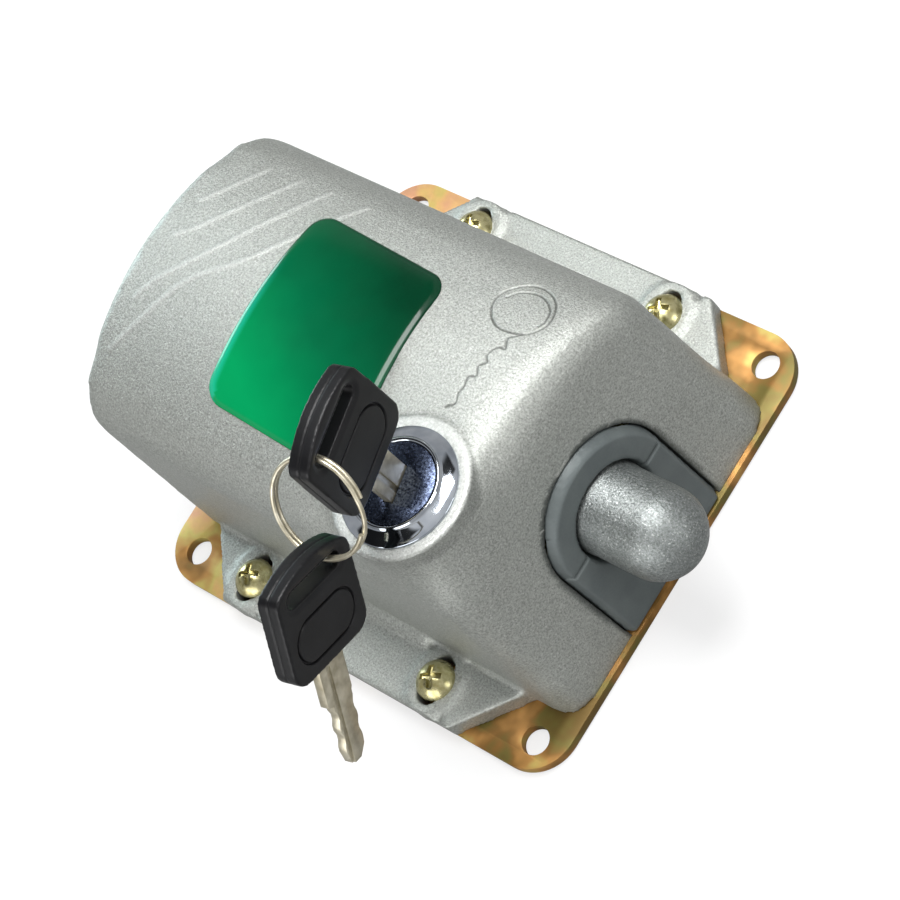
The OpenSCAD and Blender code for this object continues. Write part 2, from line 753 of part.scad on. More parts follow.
// Least gap of a wound wire of thickness w to itself, n stations to a turn
function station_at(p) = [p[0], p[1] * cos(p[2]), p[1] * sin(p[2])];
function least_gap(stations, n, w) = min([for (i = [0 : len(stations) - n])
  for (j = [i + floor(n * 0.8) : len(stations) - 1])
    norm(station_at(stations[i]) - station_at(stations[j]))]) - w;

// Wire of thickness w wound round X; each station is [x, radius, angle]
module wire_tube(stations, w, sides) {
  last = (len(stations) - 1) * sides;
  points = [for (p = stations, k = [0 : sides - 1])
    let (b = 360 * k / sides, q = p[1] + w / 2 * cos(b))
    [p[0] + w / 2 * sin(b), q * cos(p[2]), q * sin(p[2])]];
  walls = [for (i = [0 : len(stations) - 2], k = [0 : sides - 1])
    let (a = i * sides + k, b = i * sides + (k + 1) % sides)
    each [[a, b, a + sides], [b, b + sides, a + sides]]];
  cap0 = [for (k = [1 : sides - 2]) [0, k + 1, k]];
  cap1 = [for (k = [1 : sides - 2]) [last, last + k, last + k + 1]];
  polyhedron(points, concat(walls, cap0, cap1));
}

module bolt_spring() {
  x0 = yoke_front_x + 0.1 + spring_wire / 2;
  pitch = (bolt_rear_x - 0.1 - spring_wire / 2 - x0) / spring_coils;
  stations = [for (i = [0 : spring_coils * spring_rings])
    [x0 + pitch * i / spring_rings, spring_r, 360 * i / spring_rings]];
  echo("least gap of the bolt spring to itself", least_gap(stations, spring_rings, spring_wire));
  color("#aeb2b6") translate([0, 0, bolt_z]) wire_tube(stations, spring_wire, 6);
}

module at_solenoid_screws() {
  mid = (yoke_rear_x + yoke_front_x) / 2;
  for (s = [-1, 1]) translate([mid + s * solenoid_screw_x, s * solenoid_screw_y, 0]) children();
}

module solenoid_yoke() {
  color("#a8adb2") difference() {
    union() {
      translate([yoke_rear_x, -14, plate_t]) cube([yoke_front_x - yoke_rear_x, 28, yoke_t]);
      for (x = [yoke_rear_x, yoke_front_x - yoke_t])
        translate([x, -yoke_half_w, plate_t]) cube([yoke_t, 2 * yoke_half_w, yoke_top_z - plate_t]);
    }
    translate([yoke_rear_x - 1, 0, bolt_z]) rotate([0, 90, 0])
      cylinder(r = plunger_r + seat_gap, h = yoke_t + 2);
    translate([yoke_front_x - yoke_t - 1, 0, bolt_z]) rotate([0, 90, 0])
      cylinder(r = plunger_r + bore_gap, h = yoke_t + 2);
    at_solenoid_screws() cylinder(r = small_screw_r + seat_gap, h = plate_t + yoke_t + 1);
  }
}

module solenoid_screws() {
  color("#c9b884") at_solenoid_screws()
    pan_screw(small_screw_r, small_head_r, small_head_h, screw_tip_z, plate_t + yoke_t);
}

module solenoid_core() {
  color("#9fa4a9") translate([yoke_rear_x, 0, bolt_z]) rotate([0, 90, 0])
    cylinder(r = plunger_r, h = core_len);
}

module plunger_bumper() {
  color("#222224") translate([yoke_rear_x + core_len, 0, bolt_z]) rotate([0, 90, 0])
    cylinder(r = plunger_r - 0.3, h = bumper_t);
}

// A ring of revolution on the solenoid axis
module coil_ring(r0, r1, x0, x1) {
  translate([x0, 0, bolt_z]) rotate([0, 90, 0]) difference() {
    cylinder(r = r1, h = x1 - x0);
    translate([0, 0, -1]) cylinder(r = r0, h = x1 - x0 + 2);
  }
}

bobbin_x0 = yoke_rear_x + yoke_t + 0.1;
bobbin_x1 = yoke_front_x - yoke_t - 0.1;
bobbin_bore = plunger_r + bore_gap;
winding_r0 = bobbin_bore + bobbin_wall + seat_gap;
winding_r1 = bobbin_d / 2 - 1.2;

module bobbin() {
  color("#e6e2d6") {
    coil_ring(bobbin_bore, bobbin_bore + bobbin_wall, bobbin_x0, bobbin_x1);
    coil_ring(bobbin_bore, bobbin_d / 2, bobbin_x0, bobbin_x0 + flange_wall);
    coil_ring(bobbin_bore, bobbin_d / 2, bobbin_x1 - flange_wall, bobbin_x1);
  }
}

module coil_winding() {
  color("#b06a35")
    coil_ring(winding_r0, winding_r1, bobbin_x0 + flange_wall + 0.05, bobbin_x1 - flange_wall - 0.05);
}

module coil_tape() {
  color("#d8c25a") coil_ring(winding_r1 + 0.02, winding_r1 + tape_t, bobbin_x0 + flange_wall + 0.1, bobbin_x1 - flange_wall - 0.1);
}

module lock_barrel() {
  color("#c8a868") translate([lock_x, lock_y, 0]) difference() {
    union() {
      translate([0, 0, barrel_end_z]) cylinder(r = barrel_r, h = face_z - barrel_end_z + eps);
      translate([0, 0, face_z]) cylinder(r = barrel_cap_r, h = barrel_cap_h);
    }
    translate([0, 0, barrel_end_z - 1]) cylinder(r = barrel_bore, h = big);
  }
}

module lock_bezel() {
  top = face_z + bezel_h;
  color("#dfe3ea") translate([lock_x, lock_y, 0]) rotate_extrude()
    polygon([[barrel_cap_r + seat_gap, face_z], [bezel_r, face_z], [bezel_r, face_z + 0.6],
      [plug_face_r + 1, top - 0.15], [plug_face_r + 0.7, top], [plug_face_r + 0.4, top],
      [plug_face_r + 0.1, top - 0.4], [plug_face_r + 0.1, face_z + barrel_cap_h + 0.05],
      [barrel_cap_r + seat_gap, face_z + barrel_cap_h + 0.05]]);
}

// Stands a key's own frame (u, v, n) at p, with u and v given
module key_frame(p, u, v) {
  n = cross(u, v);
  multmatrix([[u[0], v[0], n[0], p[0]], [u[1], v[1], n[1], p[1]],
    [u[2], v[2], n[2], p[2]], [0, 0, 0, 1]]) children();
}

module plug_frame(z) {
  translate([lock_x, lock_y, z]) rotate(key_dir - 90) children();
}

module lock_plug() {
  color("#aab0bc") difference() {
    union() {
      translate([lock_x, lock_y, plug_end_z]) cylinder(r = plug_r, h = plug_face_low - plug_end_z + eps);
      translate([lock_x, lock_y, plug_face_low]) cylinder(r = plug_face_r, h = plug_face_t);
      plug_frame(cam_low_z) translate([-tail_w / 2, -tail_w / 2, 0])
        cube([tail_w, tail_w, plug_end_z - cam_low_z + 1]);
    }
    plug_frame(keyway_low_z) translate([-keyway_w / 2, -keyway_t / 2, 0]) cube([keyway_w, keyway_t, big]);
    for (i = [0 : wafer_n - 1])
      plug_frame(wafer_first_z + i * wafer_step - wafer_gap)
        translate([-wafer_w / 2 - wafer_gap, -wafer_d / 2 - wafer_gap, 0])
          cube([wafer_w + 2 * wafer_gap, wafer_d + 2 * wafer_gap, wafer_t + 2 * wafer_gap]);
    translate([lock_x, lock_y, cam_low_z - 1])
      cylinder(r = cam_screw_r + seat_gap, h = plug_end_z - cam_low_z + 3);
  }
}

module lock_wafers() {
  color("#c9a24c") for (i = [0 : wafer_n - 1])
    plug_frame(wafer_first_z + i * wafer_step) translate([0, 0, wafer_t / 2]) difference() {
      cube([wafer_w, wafer_d, wafer_t], center = true);
      cube([keyway_w, keyway_t, wafer_t + 1], center = true);
    }
}

module barrel_nut() {
  color("#c6c9cc") translate([lock_x, lock_y, nut_seat_z - nut_h]) difference() {
    cylinder(d = nut_flats / cos(30), h = nut_h, $fn = 6);
    translate([0, 0, -1]) cylinder(r = barrel_r + seat_gap, h = nut_h + 2);
  }
}

module lock_cam() {
  color("#b8bcc0") translate([lock_x, lock_y, cam_low_z]) rotate(crank_rest_a) difference() {
    union() {
      cylinder(r = cam_hub_r, h = cam_t);
      translate([0, -cam_w / 2, 0]) cube([crank_r, cam_w, cam_t]);
      translate([crank_r, 0, 0]) cylinder(r = cam_w / 2, h = cam_t);
      translate([crank_r, 0, crank_pin_low_z - cam_low_z])
        cylinder(r = crank_pin_r, h = cam_low_z - crank_pin_low_z + 1);
    }
    rotate(-crank_rest_a + key_dir - 90) translate([-tail_w / 2 - seat_gap, -tail_w / 2 - seat_gap, -1])
      cube([tail_w + 2 * seat_gap, tail_w + 2 * seat_gap, cam_t + 2]);
  }
}

module cam_screw() {
  color("#c9b884") translate([lock_x, lock_y, 0]) rotate([180, 0, 0])
    pan_screw(cam_screw_r, 3.4, 1.6, -(plug_end_z - 0.5), -cam_low_z);
}

module label() {
  color("#00703a") crown_patch(crown_r - 0.4, crown_r + label_t, 0);
}

// Outline of a key head with its arched top: v runs down from the shoulders
function head_outline() = let (h = head_w / 2, r = head_corner_r, f = head_foot_r,
    u = h - head_lean - r, a = asin(u / (head_arch_r - r)), c = head_arch_r - head_rise,
    v = c - (head_arch_r - r) * cos(a))
  concat([for (i = [1 : 9]) [head_arch_r * sin(a * (i / 5 - 1)), c - head_arch_r * cos(a * (i / 5 - 1))]],
    arc([u, v], r, a - 90, 0, 4), arc([h - f, head_len - f], f, 0, 90, 5),
    arc([-h + f, head_len - f], f, 90, 180, 5), arc([-u, v], r, 180, 270 - a, 4));

module key_head() {
  difference() {
    translate([0, 0, -head_t / 2]) linear_extrude(head_t) polygon(head_outline());
    translate([0, slot_v, -head_t]) linear_extrude(2 * head_t) rotate(90)
      slot_shape(head_slot_len, head_slot_w);
    translate([-blade_w / 2 - tenon_gap, head_len - tenon_len - tenon_gap, -blade_t / 2 - tenon_gap])
      cube([blade_w + 2 * tenon_gap, tenon_len + 1, blade_t + 2 * tenon_gap]);
  }
}

// Blade of a key with deep cuts in one edge and shallow ones in the other
module key_blade() {
  w = blade_w / 2;
  shank = key_stand + 0.5;
  cuts = len(cut_depths);
  step = (blade_len - shank - 3) / cuts;
  edge = [for (i = [0 : cuts - 1]) each [[w - cut_depths[i], shank + (i + 0.25) * step],
    [w - cut_depths[i], shank + (i + 0.7) * step]]];
  back = [for (i = [cuts - 1 : -1 : 0]) each [[-w + back_depths[i], shank + (i + 0.7) * step],
    [-w + back_depths[i], shank + (i + 0.25) * step]]];
  difference() {
    translate([0, head_len, -blade_t / 2]) linear_extrude(blade_t)
      polygon(concat([[w, -tenon_len], [w, shank]], edge,
        [[1.5, blade_len - 0.6], [0.9, blade_len], [-1.6, blade_len], [-w + 0.8, blade_len - 2.4]],
        back, [[-w, shank], [-w, -tenon_len]]));
    for (s = [-1, 1])
      translate([s * 1.2 - 0.6, head_len + 2, s > 0 ? blade_t / 2 - 0.6 : -blade_t / 2 - 0.1])
        cube([1.2, blade_len, 0.7]);
  }
}

module key_1_blade() {
  color("#cfc7b4") key_frame([lock_x, lock_y, key_top_z], key_u, [0, 0, -1]) key_blade();
}

module key_1_head() {
  color("#2c2b2e") key_frame([lock_x, lock_y, key_top_z], key_u, [0, 0, -1]) key_head();
}

module key_2_blade() {
  color("#cfc7b4") key_frame(key_2_top, key_2_u, key_2_down) key_blade();
}

module key_2_head() {
  color("#2c2b2e") key_frame(key_2_top, key_2_u, key_2_down) key_head();
}

// Split ring: two flat turns of wire, one on the other, joined by a short crossing
module key_ring() {
  level = (ring_wire + ring_gap) / 2;
  stations = [for (a = [0 : ring_step : 680]) [level * max(-1, min(1, (a - 340) / 20)), ring_r, a - 70]];
  echo("least gap of the key ring to itself", least_gap(stations, 360 / ring_step, ring_wire));
  color("#d3cdbd") key_frame(ring_c, key_n, ring_down) rotate([0, -90, 0])
    wire_tube(stations, ring_wire, 6);
}

module terminal_block() {
  color("#e9e6dc") translate([block_x, block_y, plate_t]) difference() {
    union() {
      translate([-block_len / 2, -block_w / 2, 0]) cube([block_len, block_w, block_foot_h]);
      translate([-block_len / 2 + 2 * block_screw_in, -block_w / 2, 0])
        cube([block_len - 4 * block_screw_in, block_w, block_h]);
    }
    at_terminals() {
      translate([0, 0, block_h - terminal_depth - terminal_screw_len - 0.5])
        cylinder(r = block_screw_r + seat_gap, h = terminal_depth + terminal_screw_len + 1);
      translate([0, 0, block_h - terminal_depth]) cylinder(r = block_head_r, h = terminal_depth + 1);
      translate([0, -block_w, wire_hole_z]) rotate([-90, 0, 0]) cylinder(r = wire_hole_r, h = 2 * block_w);
    }
    for (s = [-1, 1]) translate([s * (block_len / 2 - block_screw_in), 0, -1])
      cylinder(r = block_screw_r + seat_gap, h = block_foot_h + 2);
  }
}

module at_terminals() {
  for (s = [-1, 1]) translate([s * lead_step / 2, 0, 0]) children();
}

module at_block_screws() {
  for (s = [-1, 1]) translate([block_x + s * (block_len / 2 - block_screw_in), block_y, 0]) children();
}

module terminal_screws() {
  color("#c6c9cc") translate([block_x, block_y, plate_t]) at_terminals()
    pan_screw(block_screw_r, block_head_r - 0.2, 1.2,
      block_h - terminal_depth - terminal_screw_len, block_h - terminal_depth);
}

module terminal_mount_screws() {
  color("#c9b884") at_block_screws() pan_screw(block_screw_r, block_head_r, block_head_h,
    screw_tip_z, plate_t + block_foot_h);
}

// Two leads from the winding down into the terminal block's wire holes
module coil_leads() {
  y0 = lead_start_y;
  y1 = block_y - block_w / 2 - lead_bend - lead_entry;
  z1 = plate_t + wire_hole_z;
  color("#b03030") for (s = [-1, 1])
    translate([block_x + s * lead_step / 2, 0, 0]) {
      translate([0, y0, lead_z]) rotate([-90, 0, 0]) cylinder(r = lead_r, h = y1 - lead_bend - y0);
      translate([0, y1 - lead_bend, lead_z - lead_bend]) rotate([90, 0, 90])
        rotate_extrude(angle = 90) translate([lead_bend, 0]) circle(lead_r, $fn = 24);
      translate([0, y1, z1 + lead_bend]) cylinder(r = lead_r, h = lead_z - z1 - 2 * lead_bend);
      translate([0, y1 + lead_bend, z1 + lead_bend]) rotate([90, 0, 90]) rotate(180)
        rotate_extrude(angle = 90) translate([lead_bend, 0]) circle(lead_r, $fn = 24);
      translate([0, y1 + lead_bend, z1]) rotate([-90, 0, 0])
        cylinder(r = lead_r, h = lead_entry + lead_depth);
    }
}

base_plate();
housing();
housing_screws();
bolt_guide_lower();
bolt_guide_upper();
guide_screws();
guide_cap_screws();
bolt();
bolt_spring();
plunger();
plunger_pin();
solenoid_yoke();
solenoid_core();
bobbin();
coil_winding();
coil_tape();
solenoid_screws();
plunger_bumper();
lock_barrel();
lock_bezel();
lock_plug();
lock_wafers();
barrel_nut();
lock_cam();
cam_screw();
label();
key_1_blade();
key_1_head();
key_2_blade();
key_2_head();
key_ring();
cable_grommet();
terminal_block();
terminal_screws();
terminal_mount_screws();
coil_leads();
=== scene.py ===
import math

import bmesh
import bpy
import numpy as np
from mathutils import Matrix, Vector


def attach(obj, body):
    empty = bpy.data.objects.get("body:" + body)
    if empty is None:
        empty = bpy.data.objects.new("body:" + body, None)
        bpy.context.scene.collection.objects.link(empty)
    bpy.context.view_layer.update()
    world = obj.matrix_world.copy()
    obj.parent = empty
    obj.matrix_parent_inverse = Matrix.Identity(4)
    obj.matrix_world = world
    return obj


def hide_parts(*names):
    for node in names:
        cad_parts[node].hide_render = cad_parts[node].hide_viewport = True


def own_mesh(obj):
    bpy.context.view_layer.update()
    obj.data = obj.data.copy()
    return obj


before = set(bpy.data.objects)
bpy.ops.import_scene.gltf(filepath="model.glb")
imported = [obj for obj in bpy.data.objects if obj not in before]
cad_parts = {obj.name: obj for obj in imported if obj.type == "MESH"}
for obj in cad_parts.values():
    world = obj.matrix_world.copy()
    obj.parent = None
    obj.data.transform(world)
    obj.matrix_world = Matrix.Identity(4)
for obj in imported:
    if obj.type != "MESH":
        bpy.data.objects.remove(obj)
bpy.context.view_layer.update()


# Camera, floor and light
# A product photograph from above the bolt's end, with a long lens and soft boxes above,
# beside and behind the lock. Floor and surroundings are plain white to the camera.
CAMERA_PLACE = (0.453323, -0.097423, 0.624502)
CAMERA_TURN = (26.6648, 26.8507, 36.0989)
CAMERA_LENS = 132
LIGHTS_AIM = Vector((0, 0, 0.03))
FLOOR_Z = -0.0004
FLOOR_REACH = 3.0
WHITE, BLACK = (1, 1, 1, 1), (0, 0, 0, 1)
# the sockets of a Mix node that mixes colours
SHARE, UNDER, OVER, MIXED = 0, 6, 7, 2


def colour(code):
    """Linear colour with alpha from an sRGB hex code."""
    parts = [int(code[i:i + 2], 16) / 255 for i in (1, 3, 5)]
    return tuple(c / 12.92 if c <= 0.04045 else ((c + 0.055) / 1.055) ** 2.4 for c in parts) + (1.0,)


def feed(tree, target, inputs):
    """Sets each input of a shader node to a value, or links it to a socket or a node's first output."""
    for key, value in inputs.items():
        if isinstance(value, bpy.types.Node):
            value = value.outputs[0]
        if isinstance(value, bpy.types.NodeSocket):
            tree.links.new(value, target.inputs[key])
        else:
            target.inputs[key].default_value = value


def node(tree, kind, inputs=None, stops=(), **settings):
    """Adds a shader node with its inputs and settings; stops are a colour ramp's places and colours."""
    new = tree.nodes.new("ShaderNode" + kind)
    for key, value in settings.items():
        setattr(new, key, value)
    if stops:
        band = new.color_ramp.elements
        while len(band) < len(stops):
            band.new(0.5)
        for stop, (place, value) in zip(band, stops):
            stop.position = place
            stop.color = value if isinstance(value, tuple) else (value, value, value, 1.0)
    feed(tree, new, inputs or {})
    return new


def new_material(name):
    """A material with its tree, its principled shader and its object coordinates, in metres."""
    material = bpy.data.materials.new(name)
    material.use_nodes = True
    tree = material.node_tree
    return material, tree, tree.nodes["Principled BSDF"], node(tree, "TexCoord").outputs["Object"]


scene = bpy.context.scene
scene.view_settings.view_transform = "Standard"

camera_data = bpy.data.cameras.new("camera")
camera_data.lens = CAMERA_LENS
camera_data.clip_start = 0.01
camera = bpy.data.objects.new("camera", camera_data)
camera.location = CAMERA_PLACE
camera.rotation_euler = [math.radians(a) for a in CAMERA_TURN]
scene.collection.objects.link(camera)
scene.camera = camera


def add_light(name, place, size, power, tint=(1, 1, 1)):
    """A square soft box at place, aimed at the lock."""
    data = bpy.data.lights.new(name, "AREA")
    data.size = size
    data.energy = power
    data.color = tint
    light = bpy.data.objects.new(name, data)
    light.location = place
    light.rotation_euler = (LIGHTS_AIM - Vector(place)).to_track_quat("-Z", "Y").to_euler()
    scene.collection.objects.link(light)


add_light("top_light", (0.00, 0.20, 0.80), 0.42, 8.8)
add_light("side_light", (0.20, -0.85, 0.12), 0.90, 7.6)
add_light("rear_light", (-0.88, 0.08, 0.17), 0.35, 3.0, (0.78, 0.95, 1.0))
add_light("front_light", (0.85, 0.20, 0.30), 0.35, 1.6)

# What the metals mirror is a glow that changes with height, held back by a dark screen
# high over the rear. Each edge of the screen is an axis, a shift along it and its stops.
GLOW_BY_HEIGHT = [(0.0, 0.06), (0.48, 0.22), (0.62, 0.60), (0.80, 0.50), (1.0, 0.95)]
GLOW_STRENGTH = 0.8
HELD, CLEAR = 0.04, 1.1
SCREEN_EDGES = [("Z", 0.0, [(0.50, CLEAR), (0.55, HELD)]), ("Y", 0.0, [(0.63, HELD), (0.68, CLEAR)]),
                ("X", 0.5, [(0.53, HELD), (0.58, CLEAR)])]
SCREEN_DRIFT = 0.25

world = bpy.data.worlds.new("world")
world.use_nodes = True
scene.world = world
sky = world.node_tree
direction = node(sky, "TexCoord").outputs["Generated"]
toward = node(sky, "SeparateXYZ", {0: direction})
height = node(sky, "MapRange", {"Value": toward.outputs["Z"], "From Min": -1.0, "From Max": 1.0})
glow = node(sky, "ValToRGB", {0: height}, GLOW_BY_HEIGHT)
drift = node(sky, "TexNoise", {"Vector": direction, "Scale": 3.0, "Detail": 0.0})
drift = node(sky, "Math", {0: drift, 1: 0.5}, operation="SUBTRACT")
drift = node(sky, "Math", {0: drift, 1: SCREEN_DRIFT}, operation="MULTIPLY")
screen = BLACK
for axis, shift, stops in SCREEN_EDGES:
    along = node(sky, "Math", {0: toward.outputs[axis], 1: shift}, operation="ADD")
    along = node(sky, "Math", {0: along, 1: drift}, operation="ADD")
    edge = node(sky, "ValToRGB", {0: along}, stops)
    screen = node(sky, "Mix", {SHARE: 1.0, UNDER: screen, OVER: edge}, data_type="RGBA",
                  blend_type="LIGHTEN").outputs[MIXED]
glow = node(sky, "Mix", {SHARE: 1.0, UNDER: glow, OVER: screen}, data_type="RGBA", blend_type="MULTIPLY")
seen = node(sky, "LightPath").outputs["Is Camera Ray"]
glow = node(sky, "Mix", {SHARE: seen, UNDER: glow.outputs[MIXED], OVER: WHITE}, data_type="RGBA")
feed(sky, sky.nodes["Background"], {"Color": glow.outputs[MIXED], "Strength": GLOW_STRENGTH})

# The floor is white to the camera and grey to the lock; it keeps part of the shadow.
floor_white, tree, shader, place = new_material("floor_white")
feed(tree, shader, {"Base Color": colour("#8f8f8f"), "Roughness": 0.9, "Specular IOR Level": 0.1})
seen = node(tree, "LightPath").outputs["Is Camera Ray"]
white = node(tree, "Emission", {"Color": WHITE, "Strength": 0.97})
pale = node(tree, "BsdfDiffuse", {"Color": (0.9, 0.9, 0.9, 1)})
shown = node(tree, "MixShader", {0: 0.72, 1: pale, 2: white})
both = node(tree, "MixShader", {0: seen, 1: shader, 2: shown})
feed(tree, tree.nodes["Material Output"], {"Surface": both})

form = bmesh.new()
bmesh.ops.create_grid(form, x_segments=1, y_segments=1, size=FLOOR_REACH,
                      matrix=Matrix.Translation((0, 0, FLOOR_Z)))
mesh = bpy.data.meshes.new("floor")
form.to_mesh(mesh)
form.free()
floor = bpy.data.objects.new("floor", mesh)
mesh.materials.append(floor_white)
scene.collection.objects.link(floor)


# Base plate
# Pressed steel sheet with four fixing holes, plated with zinc and passivated yellow.
# That leaves gold, green and pink patches, dulled by a faint rolling grain.
MM = 1000   # millimetres in a metre; a pattern's scale is MM over its size
PLATE_TONES = [(0.22, colour("#6a5426")), (0.31, colour("#6f6630")), (0.38, colour("#8a6430")),
               (0.46, colour("#b58447")), (0.54, colour("#c6b566")), (0.62, colour("#d6ad6e")),
               (0.72, colour("#cf9a76"))]


def zinc_finish(name, tones, patch_mm, rough, metallic, lean=(0.0, 0.0)):
    """Passivated zinc; lean drifts the tones along X and Y, in shares of the ramp per metre."""
    material, tree, shader, place = new_material(name)
    patches = node(tree, "TexNoise", {"Vector": place, "Scale": MM / patch_mm, "Detail": 3.0,
                                      "Roughness": 0.55})
    apart = node(tree, "SeparateXYZ", {0: place})
    for axis, slope in zip("XY", lean):
        drift = node(tree, "Math", {0: apart.outputs[axis], 1: slope}, operation="MULTIPLY")
        patches = node(tree, "Math", {0: patches, 1: drift}, operation="ADD")
    tone = node(tree, "ValToRGB", {0: patches}, tones)
    grain = node(tree, "TexNoise", {"Vector": place, "Scale": MM / 1.2, "Detail": 3.0})
    dull = node(tree, "Math", {0: grain, 1: 0.22}, operation="MULTIPLY")
    tone = node(tree, "Mix", {SHARE: dull, UNDER: tone, OVER: colour("#77602f")}, data_type="RGBA")
    wear = node(tree, "TexNoise", {"Vector": place, "Scale": MM / 5.0})
    gloss = node(tree, "MapRange", {"Value": wear, "To Min": rough - 0.08, "To Max": rough + 0.12})
    relief = node(tree, "Bump", {"Height": grain, "Distance": 0.015 / MM, "Strength": 0.4})
    feed(tree, shader, {"Base Color": tone.outputs[MIXED], "Roughness": gloss, "Normal": relief,
                        "Metallic": metallic})
    return material


def new_piece(name, mesh, material, body, replaced, angle):
    """A finished piece that rides on a body and stands for the CAD nodes named in replaced.
    Edges past angle, in degrees, look sharp; with None, all look smooth."""
    for polygon in mesh.polygons:
        polygon.use_smooth = True
    if angle is not None:
        mesh.set_sharp_from_angle(angle=math.radians(angle))
    piece = bpy.data.objects.new(name, mesh)
    scene.collection.objects.link(piece)
    mesh.materials.clear()
    mesh.materials.append(material)
    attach(piece, body)
    for cad_name in replaced:
        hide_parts(cad_name)
    return piece


def cad_copy(cad_name, joined=False):
    """A closed copy of a CAD node's mesh; joined makes each flat stretch one face."""
    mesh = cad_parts[cad_name].data.copy()
    form = bmesh.new()
    form.from_mesh(mesh)
    bmesh.ops.remove_doubles(form, verts=form.verts, dist=2e-6)
    bmesh.ops.recalc_face_normals(form, faces=form.faces)
    if joined:
        bmesh.ops.dissolve_limit(form, angle_limit=math.radians(0.4), verts=form.verts, edges=form.edges)
    form.to_mesh(mesh)
    form.free()
    return mesh


def applied(mesh, kind, **settings):
    """The mesh after one modifier."""
    carrier = bpy.data.objects.new("carrier", mesh)
    scene.collection.objects.link(carrier)
    modifier = carrier.modifiers.new(kind.lower(), kind)
    for key, value in settings.items():
        setattr(modifier, key, value)
    bpy.context.view_layer.update()
    graph = bpy.context.evaluated_depsgraph_get()
    result = bpy.data.meshes.new_from_object(carrier.evaluated_get(graph))
    bpy.data.objects.remove(carrier)
    return result


def edged(name, cad_name, material, body, width_mm, angle=30):
    """The CAD node again, with the small rounded edges of the real piece."""
    mesh = cad_copy(cad_name, True)
    mesh = applied(mesh, "BEVEL", width=width_mm / MM, segments=2, limit_method="ANGLE",
                   angle_limit=math.radians(angle), use_clamp_overlap=True, loop_slide=True)
    return new_piece(name, mesh, material, body, (cad_name,), 40)


plate_zinc = zinc_finish("plate_zinc", PLATE_TONES, 15.0, 0.48, 0.5, (-2.1, 0.7))
edged("plate_sheet", "base_plate", plate_zinc, "case", 0.35)


# Bolt guide
# Two castings round the bolt, parted at the height of its axis, screwed together and to
# the plate, and painted satin dark grey. Their face swells out a little round the bolt.
BOLT_Z = 31.0
FRONT_X, FRONT_RUN = 63.15, math.tan(math.radians(8))
GUIDE_R, BORE_R = 18.7, 11.1
GUIDE_VOXEL = 0.48
FACE_SWELL, PARTING_DEPTH = 1.1, 0.6
SCREW_TONES = [(0.3, colour("#8d8756")), (0.5, colour("#cfc99b")), (0.7, colour("#a9a06a"))]


def satin_casting(name, tone, dark):
    """A matt coat on a casting: a fine grain over faint clouds of two greys."""
    material, tree, shader, place = new_material(name)
    grain = node(tree, "TexNoise", {"Vector": place, "Scale": MM / 0.6, "Detail": 3.0, "Roughness": 0.6})
    cloud = node(tree, "TexNoise", {"Vector": place, "Scale": MM / 9.0})
    shade = node(tree, "ValToRGB", {0: cloud}, [(0.35, colour(dark)), (0.65, colour(tone))])
    pale = node(tree, "Math", {0: grain, 1: 0.3}, operation="MULTIPLY")
    shade = node(tree, "Mix", {SHARE: pale, UNDER: shade, OVER: colour("#7d8486")}, data_type="RGBA")
    gloss = node(tree, "MapRange", {"Value": grain, "To Min": 0.42, "To Max": 0.62})
    relief = node(tree, "Bump", {"Height": grain, "Distance": 0.04 / MM, "Strength": 0.5})
    feed(tree, shader, {"Base Color": shade.outputs[MIXED], "Roughness": gloss, "Normal": relief,
                        "Metallic": 0.25})
    return material


def points_of(mesh):
    """The mesh's points, in millimetres."""
    points = np.empty(len(mesh.vertices) * 3)
    mesh.vertices.foreach_get("co", points)
    return points.reshape(-1, 3) * MM


def put_points(mesh, points):
    mesh.vertices.foreach_set("co", (points / MM).ravel())
    mesh.update()


def normals(mesh):
    values = np.empty(len(mesh.vertices) * 3)
    mesh.vertices.foreach_get("normal", values)
    return values.reshape(-1, 3)


def smooth_step(value, low, high):
    t = np.clip((value - low) / (high - low), 0, 1)
    return t * t * (3 - 2 * t)


def relaxed(mesh, weight, rounds, push=True):
    """Evens the surface where weight is above 0; push undoes the shrinking of each round."""
    edges = np.empty(len(mesh.edges) * 2, dtype=np.int64)
    mesh.edges.foreach_get("vertices", edges)
    a, b = edges[0::2], edges[1::2]
    points = points_of(mesh)
    count = np.bincount(edges, minlength=len(points))[:, None]
    steps = (0.5, -0.52) if push else (0.5,)
    for _ in range(rounds):
        for step in steps:
            total = np.stack([np.bincount(a, points[b, k], len(points))
                              + np.bincount(b, points[a, k], len(points)) for k in range(3)], axis=1)
            points += step * weight[:, None] * (total / np.maximum(count, 1) - points)
    put_points(mesh, points)


def arch_reach(points):
    """How far points are from the bolt's axis, or below it from the middle plane."""
    return np.hypot(points[:, 1], np.maximum(points[:, 2] - BOLT_Z, 0))


def move_to_arch(points, chosen, radius):
    """Moves the chosen points onto the arch of that radius round the bolt."""
    scale = radius / arch_reach(points[chosen])
    lift = np.maximum(points[chosen, 2] - BOLT_Z, 0)
    points[chosen, 1] *= scale
    points[chosen, 2] += lift * (scale - 1)


